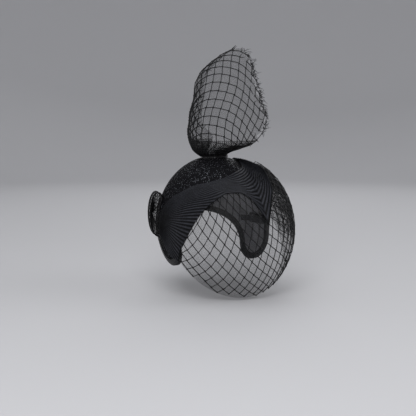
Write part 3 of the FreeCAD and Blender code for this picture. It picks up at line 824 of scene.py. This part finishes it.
def band_tree():
    """The part of the band that the veil passes under, as a surface to lie against."""
    along, across = 140, 14
    points = [
        band.point(VEIL_UNDER_TO * row / (along - 1), column / (across - 1))
        for row in range(along)
        for column in range(across)
    ]
    return BVHTree.FromPolygons([Vector(point) for point in points], grid_faces(along, across))


VEIL_TREE = tree_of("veil_net")
BAND_TREE = band_tree()
UNDER_BAND = 1.5


def tuck(point, inset=0.0):
    """Moves a point of the dome in under the band, and says if it was there."""
    ray = point - DOME_CENTRE
    reach = np.linalg.norm(ray)
    ray = ray / reach
    place, _, _, distance = BAND_TREE.ray_cast(Vector(DOME_CENTRE), Vector(ray))
    if place is None:
        return point - ray * inset, False
    return DOME_CENTRE + ray * (min(reach, distance - UNDER_BAND) - inset), True


def in_veil(point):
    place = VEIL_TREE.find_nearest(Vector(point))
    return place[3] < 1.5


def veil_net():
    """The veil's net: start, headings, bends and cell fitted to the photograph's thread crossings."""
    start = np.array((-45.31, -124.31, -97.44))
    bends = (
        bending((-0.1, 3.7, 7.4, -18.4), -5, 8, 8, 3),
        bending((2.5, -3.1, 13.0, 12.5), -6, 5, 8, 3),
    )
    return Drape(Dome(), start, (-48.9, 73.3), bends, (VEIL_CELL, VEIL_CELL), ((14, 20), (14, 16)))


def keep_for_veil(nodes):
    """The knots that are on the veil or under the band, in their final places."""
    kept = {}
    for key, point in nodes.items():
        if above_hem(point) < 0.8 or over_head(point, COVER + 0.6) < 1:
            continue
        moved, under = tuck(point)
        if under or in_veil(point):
            kept[key] = moved
    return kept


def net_threads(drape, kept, onto, facing, thread):
    """Threads between kept knots, a bit slack, with a knot at each crossing."""
    spread = random.Random(3)
    threads, knots = Threads(sides=6), Threads()
    for a, b, family in drape.edges():
        if a not in kept and b not in kept:
            continue
        if a not in kept or b not in kept:
            path = clip_at_cap(drape.nodes[a], drape.nodes[b], a in kept)
            if path is None:
                continue
        else:
            start, side = drape.nodes[a], drape.nodes[b] - drape.nodes[a]
            path = [start + side * share for share in (0, 0.12, 0.5, 0.88, 1)]
            jog = np.cross(path[-1] - path[0], facing(path[0]))
            jog = jog / max(np.linalg.norm(jog), 1e-9) * 0.35 * spread.uniform(0.3, 1.0)
            path[1] = path[1] + jog
            path[3] = path[3] - jog
        path = [onto(point) for point in path]
        radius = thread * (1.0 if family == 0 else 0.85)
        threads.add(path, radius, [facing(point) for point in path])
    for key in kept:
        here = kept[key]
        onward = drape.nodes.get((key[0] + 1, key[1]))
        if onward is None:
            back = drape.nodes.get((key[0] - 1, key[1]), drape.nodes[key] - (1, 0, 0))
            onward = 2 * drape.nodes[key] - back
        knots.knot(here, thread * spread.uniform(1.65, 2.0), onward - drape.nodes[key], facing(here))
    return threads, knots


def clip_at_cap(a, b, keep_a):
    """The part of a thread outside the cap, its end just inside the cover."""
    inside, outside = (b, a) if keep_a else (a, b)
    if above_hem(inside) < 0.8 or over_head(inside, COVER) > 1.0:
        return None
    low, high = 0.0, 1.0
    for _ in range(20):
        middle = (low + high) / 2
        if over_head(outside + (inside - outside) * middle, COVER - 1.0) > 1:
            low = middle
        else:
            high = middle
    return [outside + (inside - outside) * (low * share) for share in (0, 0.5, 1)]


# Azimuth and lowest height of the net that is folded in at the wearer's upper left.
GATHER_EDGE = smooth_line((13, 18, 27, 60), (-47, -56, -67, -100))


def in_gather(point):
    """True at the wearer's upper left, where the spare width of the veil is folded inside it."""
    ray = point - DOME_CENTRE
    azimuth = math.degrees(math.atan2(ray[0], -ray[1]))
    if not 6 < azimuth < 112 or over_head(point, COVER + 0.6) < 1 or above_hem(point) < 6:
        return False
    if VEIL_TREE.find_nearest(Vector(point))[3] > 5.0:
        return False
    return point[2] > GATHER_EDGE(azimuth) and not tuck(point)[1]


def build_gather():
    """The veil's spare width, folded inside in two closer layers of net and one of tulle."""
    spread = random.Random(21)
    threads = Threads(sides=5)
    for inset, headings, cell in ((1.8, (-62.0, 52.0), 6.8), (3.4, (-30.0, 88.0), 9.2)):
        dome = Dome(-inset)
        start = dome.onto(DOME_CENTRE + np.array((50.0, -62.0, 52.0)))
        bends = (bending((0.0, 0.0, 0.0, 0.0), -6, 6, 8, 3),) * 2
        drape = Drape(dome, start, headings, bends, (cell, cell), ((14, 14), (14, 14)))
        for a, b, _ in drape.edges():
            near, far = drape.nodes[a], drape.nodes[b]
            if not (in_gather(near) and in_gather(far)):
                continue
            path = [near, (near + far) / 2 + dome.normal(near) * spread.uniform(-0.6, 0.6), far]
            threads.add(path, 0.34, dome.normal(near))
    net = threads.piece("veil_gather_threads", NET_THREAD, "diamond_net")

    rows, columns = 44, 60
    points, uvs = [], []
    dome = Dome(-2.6)
    for row in range(rows):
        tilt = math.radians(4 + 112 * row / (rows - 1))
        for column in range(columns):
            around = math.radians(4 + 110 * column / (columns - 1))
            level = np.array((math.sin(around), -math.cos(around), 0.0))
            ray = level * math.sin(tilt) + np.array((0.0, 0.0, math.cos(tilt)))
            fold = 0.8 * math.sin(around * 40)
            points.append(DOME_CENTRE + ray * (dome.axes + fold))
            uvs.append((86 * around * math.sin(tilt), 90 * tilt))
    faces = [
        face for face in grid_faces(rows, columns)
        if in_gather(np.mean([points[index] for index in face], axis=0))
    ]
    points, faces, uvs = only_used(points, faces, uvs)
    sheet = piece("veil_gather_tulle", points, faces, DENSE_TULLE, uvs=uvs)
    return net, sheet


def build_veil():
    drape = veil_net()
    dome = Dome()
    kept = keep_for_veil(drape.nodes)
    threads, knots = net_threads(
        drape, kept, lambda point: tuck(dome.onto(point))[0], dome.normal, VEIL_THREAD
    )
    net = threads.piece("veil_threads", NET_THREAD, "diamond_net")
    knot_piece = knots.piece("veil_knots", KNOT_THREAD, "diamond_net")
    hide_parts("veil_net")

    # the tulle lies just inside the threads, in rings round the hem's own axis
    rows, columns = 70, 170
    scale = np.linalg.norm(hem_normal * DOME_AXES)
    pole = hem_normal * DOME_AXES / scale
    hem_level = above_hem(DOME_CENTRE) / scale
    first, second = np.array((1.0, 0, 0)), np.cross(pole, (1.0, 0, 0))
    lowest = math.acos(max(-1.0, min(1.0, -hem_level)))
    points, uvs = [], []
    for row in range(rows):
        tilt = lowest * (1 - row / (rows - 1)) + 0.02
        for column in range(columns):
            around = 2 * math.pi * column / columns
            level = first * math.cos(around) + second * math.sin(around)
            ray = pole * math.cos(tilt) + level * math.sin(tilt)
            point = DOME_CENTRE + ray * DOME_AXES
            points.append(tuck(point, 0.9)[0])
            uvs.append((88 * tilt * math.cos(around), 88 * tilt * math.sin(around)))
    kept_faces = []
    for face in grid_faces(rows, columns, closed=True):
        corners = np.array([points[index] for index in face])
        middle = corners.mean(axis=0)
        on_dome = dome.onto(DOME_CENTRE + unit(middle - DOME_CENTRE))
        sides = np.linalg.norm(corners - np.roll(corners, 1, axis=0), axis=1)
        if over_head(middle, COVER - 1.2) < 1 or sides.max() > LONGEST_SIDE:
            continue
        if tuck(on_dome)[1] or in_veil(on_dome):
            kept_faces.append(face)
    points, kept_faces, uvs = only_used(points, kept_faces, uvs)
    tulle = piece("veil_tulle_sheet", points, kept_faces, TULLE, uvs=uvs)
    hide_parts("veil_tulle")
    return net, knot_piece, tulle


# ---------------------------------------------------------------- sparkling cap cover


def in_cap_outline(y, z):
    """True where the side view of the cap has cloth: over the ear lobe and outside both hollows."""
    front_rise = math.sqrt((LOBE_RADIUS + FRONT_RADIUS) ** 2 - (FRONT_BACK - LOBE_BACK) ** 2)
    nape_rise = -math.sqrt((LOBE_RADIUS + NAPE_RADIUS) ** 2 - (NAPE_BACK - LOBE_BACK) ** 2)
    touches = []
    clear = (y > FRONT_BACK) & (y < NAPE_BACK)
    hollows = ((FRONT_BACK, front_rise, FRONT_RADIUS), (NAPE_BACK, nape_rise, NAPE_RADIUS))
    for back, rise, radius in hollows:
        middle = np.array((back, LOBE_HEIGHT + rise))
        lobe = np.array((LOBE_BACK, LOBE_HEIGHT))
        touches.append(lobe + unit(middle - lobe) * LOBE_RADIUS)
        clear &= np.hypot(y - middle[0], z - middle[1]) > radius
    (front_y, front_z), (nape_y, nape_z) = touches
    chord = front_z + (nape_z - front_z) * (y - front_y) / (nape_y - front_y)
    lobe = np.hypot(y - LOBE_BACK, z - LOBE_HEIGHT) < LOBE_RADIUS
    return lobe | (clear & (z > chord))


LOOP_SIZE = 2.1                 # of one pebbled loop of the knit


def build_cover():
    """The knit, as a fine even grid with its pebbled loops as real relief."""
    ball = bmesh.new()
    bmesh.ops.create_icosphere(ball, subdivisions=8, radius=1.0)
    rays = np.array([vertex.co for vertex in ball.verts])
    corners = np.array([[vertex.index for vertex in face.verts] for face in ball.faces])
    ball.free()
    points = HEAD_CENTRE + rays * (HEAD_AXES + COVER - 0.2)
    middles = points[corners].mean(axis=1)
    corners = corners[in_cap_outline(middles[:, 1], middles[:, 2])]
    points, faces, rays = only_used(points, [tuple(face) for face in corners.tolist()], rays)
    lifted = []
    for point, ray in zip(points, rays):
        place = Vector(point / LOOP_SIZE)
        near, _ = noise.voronoi(place)
        pebble = math.sqrt(max(0.0, 1.0 - min(near[0], 1.0) ** 2 * 1.6))
        fold = noise.noise(Vector(point / 14.0))
        lifted.append(point + unit(ray / HEAD_AXES) * (0.62 * pebble - 0.25 + 0.15 * fold))
    cover = piece("cap_knit", lifted, faces, KNIT)
    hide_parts("cap_cover")
    return cover


# ---------------------------------------------------------------- plume on the crown

PLUME_THREAD = 0.56
PLUME_CELL = (10.9, 11.5)
PLUME_START = np.array((24.9, -47.4, 80.1))
PLUME_LOW = 13.0                # below this height the net is gathered into the neck
NECK_PLEATS = 26

# How far the roll wraps round behind, by height.
back_angle = smooth_line((-3, 22, 44, 142), np.radians((70, 70, 46, 40)))


class PlumeCut:
    """Which part of the roll the plume's net covers."""

    def __init__(self, plume):
        self.plume = plume

    def angle(self, point):
        return math.atan2(-point[1], self.plume.middle(point[2]) - point[0])

    def from_front(self, point):
        """Millimetres from the roll's frayed front edge."""
        height = min(max(point[2], 0.0), PLUME_SECTIONS[-1][0])
        return (self.plume.front_angle(height) - self.angle(point)) * self.plume.radius(height)

    def holds(self, point):
        height = point[2]
        if not PLUME_LOW < height < PLUME_SECTIONS[-1][0]:
            return False
        return -back_angle(height) < self.angle(point) < self.plume.front_angle(height)


def plume_net(plume):
    """The plume's net, fitted to the photograph's thread crossings as the veil's is."""
    bends = (
        bending((-7.1, 2.3, 16.3, 38.8), -4, 4, 6, 4),
        bending((3.1, 6.2, -18.2, -15.4), -6, 4, 6, 4),
    )
    return Drape(plume, PLUME_START, (-27.3, 71.0), bends, PLUME_CELL, ((14, 9), (11, 9)))


def gathered(plume, share, height):
    """A point of the neck's pleats: share runs round the roll from its back edge to its front edge."""
    front, back = plume.front_angle(height), back_angle(height)
    return plume.rim(share * (front + back) - back, height, pleat(share, height))


def pleat(share, height):
    """Depth of the small pleats that take the cloth into the neck."""
    return 0.9 * max(0.0, 1 - height / 14.0) * math.sin(share * 2 * math.pi * NECK_PLEATS)


def build_plume():
    spread = random.Random(11)
    plume = Plume()
    cut = PlumeCut(plume)
    drape = plume_net(plume)
    kept = {key: point for key, point in drape.nodes.items() if cut.holds(point)}
    threads, knots = Threads(sides=6), Threads()
    for a, b, family in drape.edges():
        if a not in kept and b not in kept:
            continue
        near, far = (a, b) if a in kept else (b, a)
        start, end = drape.nodes[near], drape.nodes[far]
        radius = PLUME_THREAD * (1.0 if family == 0 else 0.9)
        frayed = cut.from_front(end) < 13 and spread.random() < 0.38
        if far not in kept or frayed:
            if end[2] < PLUME_LOW:
                continue
            # a cut end: the thread curls away from the roll and frays
            length = spread.uniform(0.35, 0.9)
            away = plume.normal(start) * spread.uniform(-2.0, 3.0)
            curl = unit(np.cross(end - start, plume.normal(start))) * spread.uniform(-4.0, 4.0)
            path = [
                start + (end - start) * length * share + (away + curl * share) * share**2
                for share in (0, 0.25, 0.5, 0.75, 1)
            ]
            thinning = np.array((1, 1, 0.85, 0.7, 0.45)) * radius
            threads.add(plume_to_row(path), thinning, plume_turn(plume.normal(start)))
            continue
        jog = np.cross(end - start, plume.normal(start))
        jog = unit(jog) * 0.35 * spread.uniform(0.3, 1.0)
        path = []
        for share, push in ((0, 0), (0.12, 1), (0.5, 0), (0.88, -1), (1, 0)):
            path.append(plume.onto(start + (end - start) * share + jog * push))
        threads.add(plume_to_row(path), radius, plume_turn(plume.normal(start)))
    for key, point in kept.items():
        onward = drape.nodes.get((key[0], key[1] + 1), point + (0, 0, 1))
        size = PLUME_THREAD * spread.uniform(1.7, 2.1)
        along, facing = plume_turn(onward - point), plume_turn(plume.normal(point))
        knots.knot(plume_to_row(point), size, along, facing, stretch=1.4)
    add_neck_gathers(plume, cut, drape, kept, threads, spread)
    add_stray_threads(plume, threads, spread)
    net = threads.piece("plume_threads", NET_THREAD, "diamond_net")
    knot_piece = knots.piece("plume_knots", KNOT_THREAD, "diamond_net")
    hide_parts("plume_net")
    tulle = plume_tulle(plume)
    return net, knot_piece, tulle


def plume_turn(vector):
    """A direction from the plume's frame to the row frame."""
    return plume_to_row(np.asarray(vector, float)) - plume_to_row((0.0, 0.0, 0.0))


def add_neck_gathers(plume, cut, drape, kept, threads, spread):
    """Below the open net its threads crowd together and run down into the neck."""
    for key, point in kept.items():
        below = [drape.nodes.get((key[0], key[1] - 1)), drape.nodes.get((key[0] - 1, key[1]))]
        if all(other is not None and other[2] > PLUME_LOW for other in below):
            continue
        if point[2] > PLUME_LOW + 16:
            continue
        back = back_angle(point[2])
        share = (cut.angle(point) + back) / (plume.front_angle(point[2]) + back)
        for side in (-1, 1):
            target = min(max(share + side * spread.uniform(0.01, 0.05), 0.01), 0.99)
            path = [point]
            for step in range(1, 7):
                part = step / 6
                height = point[2] * (1 - part) - 2.4 * part
                path.append(gathered(plume, share + (target - share) * part, height))
            facing = [plume_turn(plume.normal(spot)) for spot in path]
            threads.add(plume_to_row(path), PLUME_THREAD * 0.9, facing)
    columns, levels = 72, 8
    for level in range(levels):
        for column in range(columns):
            low, high = 2.9 * level - 2.4, 2.9 * (level + 1) - 2.4
            here = (column + 0.5 * (level % 2)) / columns
            for side in (-0.5, 0.5):
                there = here + side / columns
                if not 0 <= there <= 1 or not 0 <= here <= 1:
                    continue
                path = [
                    gathered(plume, here + (there - here) * part, low + (high - low) * part)
                    for part in (0, 0.5, 1)
                ]
                facing = [plume_turn(plume.normal(spot)) for spot in path]
                threads.add(plume_to_row(path), 0.42 - 0.02 * level, facing)


def add_stray_threads(plume, threads, spread):
    """Fine ends that stand out from the cut edge."""
    for _ in range(170):
        height = spread.uniform(30, 141)
        front = plume.front_angle(height)
        root = plume.rim(front - spread.uniform(0, 0.12), height)
        normal = plume.normal(root)
        forward = unit(np.cross((0, 0, 1.0), normal))
        length = spread.uniform(3, 9) if spread.random() < 0.75 else spread.uniform(9, 16)
        lean = np.array((0, 0, spread.uniform(-0.9, 0.6)))
        direction = unit(forward + lean + normal * spread.uniform(-0.5, 0.5))
        curl = unit(np.cross(direction, normal)) * spread.uniform(-6.5, 6.5)
        kink = normal * spread.uniform(-2.0, 2.0)
        path = [
            root + direction * length * part + curl * part**2 + kink * math.sin(part * 5)
            for part in (0, 0.2, 0.4, 0.6, 0.8, 1)
        ]
        threads.add(plume_to_row(path), np.array((1, 1, 1, 0.85, 0.7, 0.5)) * 0.27, plume_turn(normal))


def plume_tulle(plume):
    """The fine sheet just inside the plume's net, pleated at the neck and torn at its front edge."""
    rows, columns = 64, 110
    points, uvs = [], []
    low, top = PLUME_SECTIONS[0][0], PLUME_SECTIONS[-1][0]
    for row in range(rows):
        height = low + (top - low) * (row / (rows - 1)) ** 1.15
        front, back = plume.front_angle(height), back_angle(height)
        for column in range(columns):
            share = column / (columns - 1)
            torn = 0.03 + 0.05 * noise.noise(Vector((height / 5.0, 0.0, 3.0)))
            ragged = torn * max(0.0, (share - 0.85) / 0.15)
            angle = (share - ragged) * (front + back) - back
            point = plume.rim(angle, height, pleat(share, height) - 0.9)
            points.append(plume_to_row(point))
            uvs.append((angle * 54.0, height))
    faces = grid_faces(rows, columns)
    tulle = piece("plume_tulle_sheet", points, faces, PLUME_TULLE, uvs=uvs)
    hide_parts("plume_tulle")
    return tulle


def build_neck_wrap():
    """Thread wound round the neck, turn on turn, with a slightly uneven lay."""
    spread = random.Random(5)
    threads = Threads(sides=6)
    turns, per_turn = 6, 48
    path, facing = [], []
    for step in range(turns * per_turn + 1):
        around = 2 * math.pi * step / per_turn
        level = step / per_turn
        rise = -2.2 + (level if level <= 3 else 6 - level) * 0.7
        reach = 17.7 + (0.0 if level <= 3 else 0.6) + 0.12 * math.sin(around * 5)
        out = np.array((math.cos(around), math.sin(around), 0))
        path.append(np.array((-1.3, 0, rise)) + out * reach)
        facing.append(plume_turn(out + (0, 0, 0.01)))
    threads.add(plume_to_row(path), 0.42, facing)
    tail = [path[-1] + np.array((0.0, -share * 2.0, -share * 3.0)) for share in (0, 0.5, 1.0)]
    threads.add(plume_to_row(tail), 0.35, (1.0, 0.2, 0.1))
    wrap = threads.piece("neck_winding", SEWING_THREAD, "sewing_thread")
    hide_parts("neck_wrap")


# ---------------------------------------------------------------- rosette and loop at the right ear

ROSETTE_BACK, ROSETTE_HEIGHT = -3.0, -90.0


def on_right_side(y, z, offset):
    """A point over the head's right side, straight out from its middle plane."""
    axes = HEAD_AXES + offset
    rest = 1 - ((y - HEAD_CENTRE[1]) / axes[1]) ** 2 - ((z - HEAD_CENTRE[2]) / axes[2]) ** 2
    return np.array((-axes[0] * math.sqrt(max(rest, 0.0)), y, z))


def pleated_disc(name, radius, offset, depth, pleats, start, hole):
    """A disc of crinoline folded into knife pleats that open towards its edge."""
    rings, around = 14, pleats * 8
    points, uvs = [], []
    for ring in range(rings):
        share = ring / (rings - 1)
        reach = hole + (radius - hole) * share
        for step in range(around):
            turn = 2 * math.pi * step / around
            phase = (turn * pleats / (2 * math.pi)) % 1.0
            fold = phase / 0.7 if phase < 0.7 else (1 - phase) / 0.3
            scallop = 1 + 0.03 * share * (fold - 0.5)
            angle = turn + start
            y = ROSETTE_BACK + reach * scallop * math.cos(angle)
            z = ROSETTE_HEIGHT + reach * scallop * math.sin(angle)
            points.append(on_right_side(y, z, offset + depth * fold * (0.25 + 0.75 * share)))
            uvs.append((reach * math.cos(angle), reach * math.sin(angle)))
    faces = grid_faces(rings, around, closed=True)
    return piece(name, points, faces, CRINOLINE, uvs=uvs)


def build_rosette():
    lower = pleated_disc("rosette_lower", 26.5, 5.3, 2.2, 34, 0.0, 2.0)
    upper = pleated_disc("rosette_upper", 17.5, 6.9, 1.8, 24, 0.12, 2.0)
    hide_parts("side_rosette")
    for disc in (lower, upper):
        thick = disc.modifiers.new("thickness", "SOLIDIFY")
        thick.thickness = 0.35 * MM
        thick.offset = 0

    # the knot is a wrapped twist of the same crinoline
    rings, around = 18, 72
    points = []
    for ring in range(rings):
        share = ring / (rings - 1)
        for step in range(around):
            turn = 2 * math.pi * step / around
            swirl = math.sin(turn * 5 + share * 4.0)
            reach = 7.0 * math.cos(share * math.pi / 2) * (1 + 0.05 * swirl)
            y = ROSETTE_BACK + reach * math.cos(turn)
            z = ROSETTE_HEIGHT + reach * math.sin(turn)
            lift = 8.2 + 5.0 * math.sin(share * math.pi / 2) + 0.35 * swirl * (1 - share)
            points.append(on_right_side(y, z, lift))
    faces = grid_faces(rings, around, closed=True)
    # the braid's finish paints the knot near black: its UVs give no rib light and it sits by the gather
    # hub, in painted shade
    knot = piece("rosette_twist", points, faces, BRAID, uvs=[(0.0, 0.0)] * len(points))
    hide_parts("rosette_knot")
    return lower, upper


LOOP_MIDDLE = np.array((-70.5, 35.2, -75.0))
LOOP_TURN = math.radians(18)
LOOP_ALONG = np.array((math.sin(LOOP_TURN), math.cos(LOOP_TURN), 0.0))
LOOP_ACROSS = np.array((math.cos(LOOP_TURN), -math.sin(LOOP_TURN), 0.0))
LOOP_TALL, LOOP_DEEP, LOOP_WIDE = 29.5, 10.4, 20.0


def on_loop(turn, along, shrink=0.0):
    """A point of the loop: turn runs round it, along runs from its front edge to its back edge. The side
    towards the head lies on the cap."""
    up = np.array((0, 0, 1.0))
    return on_cap(
        LOOP_MIDDLE
        + up * (LOOP_TALL - shrink) * math.cos(turn)
        + LOOP_ACROSS * (LOOP_DEEP - shrink) * math.sin(turn)
        + LOOP_ALONG * along
    )


def on_cap(point):
    """The point, or where it comes out of the cap if it is inside it."""
    return point if over_head(point, COVER + 0.7) > 1 else onto_head(point, COVER + 0.7)


def build_loop():
    threads = Threads(sides=6)
    cells = 20
    for level in range(4):
        low = -LOOP_WIDE / 2 + LOOP_WIDE * level / 4
        high = low + LOOP_WIDE / 4
        for cell in range(cells):
            here = (cell + 0.5 * (level % 2)) / cells
            for side in (-0.5, 0.5):
                there = here + side / cells
                path = []
                for share in (0, 0.25, 0.5, 0.75, 1):
                    turn = 2 * math.pi * (here + (there - here) * share)
                    path.append(on_loop(turn, low + (high - low) * share))
                from_middle = [point - LOOP_MIDDLE for point in path]
                facing = [unit(arm - LOOP_ALONG * (arm @ LOOP_ALONG)) for arm in from_middle]
                threads.add(path, 0.4, facing)
    net = threads.piece("loop_threads", NET_THREAD, "loop_net")
    edges = Threads(sides=8)
    for along in (-LOOP_WIDE / 2, LOOP_WIDE / 2):
        path = [on_loop(2 * math.pi * step / 96, along) for step in range(96)]
        edges.add(path, 0.9, LOOP_ALONG, closed=True)
    piping = edges.piece("loop_piping", BRAID, "horsehair_braid")
    rows, columns = 9, 120
    points, uvs = [], []
    for row in range(rows):
        along = -LOOP_WIDE / 2 + LOOP_WIDE * row / (rows - 1)
        for column in range(columns):
            points.append(on_loop(2 * math.pi * column / columns, along, 0.5))
            uvs.append((124.0 * column / columns, along))
    faces = grid_faces(rows, columns, closed=True)
    sheet = piece("loop_tulle", points, faces, LOOP_TULLE, uvs=uvs)
    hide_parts("side_loop")
    return net, piping, sheet


def in_loop(turn, share):
    """A point of the net folded across the loop's mouth: share runs from its middle to its rim."""
    rim = on_loop(turn, -LOOP_WIDE / 2 + 1.0, 0.8)
    middle = LOOP_MIDDLE - LOOP_ACROSS * 7.0 + LOOP_ALONG * (LOOP_WIDE / 2 - 4.0)
    return on_cap(middle + (rim - middle) * share - LOOP_ALONG * (10.0 * (1 - share) * share))


def loop_fill():
    """The loose net inside the loop, crossing threads over a soft fold."""
    threads = Threads(sides=5)
    for sweep in (1, -1):
        for line in range(22):
            path = []
            for step in range(9):
                share = 0.06 + 0.92 * step / 8
                path.append(in_loop(2 * math.pi * line / 22 + sweep * 0.9 * share, share))
            threads.add(path, 0.42, LOOP_ALONG)
    net = threads.piece("loop_fill_threads", NET_THREAD, "loop_net")

    rows, columns = 10, 96
    points, uvs = [], []
    for row in range(rows):
        share = 0.02 + 0.97 * row / (rows - 1)
        for column in range(columns):
            turn = 2 * math.pi * column / columns
            crumple = 0.9 * math.sin(turn * 9 + share * 5)
            points.append(on_cap(in_loop(turn, share) + LOOP_ALONG * crumple * share * (1 - share) * 4))
            uvs.append((28 * share * math.cos(turn), 28 * share * math.sin(turn)))
    faces = grid_faces(rows, columns, closed=True)
    sheet = piece("loop_fill_tulle", points, faces, LOOP_TULLE, uvs=uvs)
    return net, sheet


# ---------------------------------------------------------------- studio


bpy.context.scene.view_settings.view_transform = "Standard"


def build_studio():
    """A pale bowl of floor and wall, wide soft lights and an even sky."""
    floor = -0.1768
    profile = [(0.0, floor), (1.9, floor)]
    for step in range(1, 9):
        angle = math.pi / 2 * step / 8
        profile.append((1.9 + 0.6 * math.sin(angle), floor + 0.6 * (1 - math.cos(angle))))
    profile.append((2.5, 2.6))
    around = 64
    points = [
        (reach * math.cos(2 * math.pi * turn / around), reach * math.sin(2 * math.pi * turn / around), rise)
        for reach, rise in profile[1:]
        for turn in range(around)
    ]
    faces = [tuple(reversed(face)) for face in grid_faces(len(profile) - 1, around, closed=True)]
    faces.append(tuple(range(around)))
    mesh = bpy.data.meshes.new("studio_floor")
    mesh.from_pydata(points, [], faces)
    mesh.materials.append(Finish("studio_paper", (0.42, 0.42, 0.435), 0.9).material)
    mesh.shade_smooth()
    floor_object = bpy.data.objects.new("studio_floor", mesh)
    bpy.context.collection.objects.link(floor_object)

    lights = (
        ("key", (-0.9, -1.3, 1.1), 1.2, 34.0),
        ("fill", (1.3, -1.0, 0.5), 1.4, 12.0),
        ("back", (0.9, 1.3, 1.1), 1.2, 10.0),
        ("top", (-0.3, 0.2, 1.8), 1.6, 8.0),
    )
    for name, place, width, power in lights:
        lamp = bpy.data.lights.new(name, "AREA")
        lamp.size = width
        lamp.energy = power
        holder = bpy.data.objects.new(name, lamp)
        bpy.context.collection.objects.link(holder)
        holder.location = place
        aim = Vector((0, 0, -0.06)) - Vector(place)
        holder.rotation_euler = aim.to_track_quat("-Z", "Y").to_euler()
    world = bpy.data.worlds.new("sky")
    bpy.context.scene.world = world
    world.use_nodes = True
    world.node_tree.nodes["Background"].inputs["Color"].default_value = (0.9, 0.92, 0.95, 1)
    world.node_tree.nodes["Background"].inputs["Strength"].default_value = 0.5


band_piece, band_edges = build_band()
veil_threads, veil_knots, veil_sheet = build_veil()
gather_threads, gather_sheet = build_gather()
cover_piece = build_cover()
plume_threads, plume_knots, plume_sheet = build_plume()
build_neck_wrap()
rosette_pieces = build_rosette()
loop_threads, loop_piping, loop_sheet = build_loop()
loop_fill_threads, loop_fill_sheet = loop_fill()
build_studio()
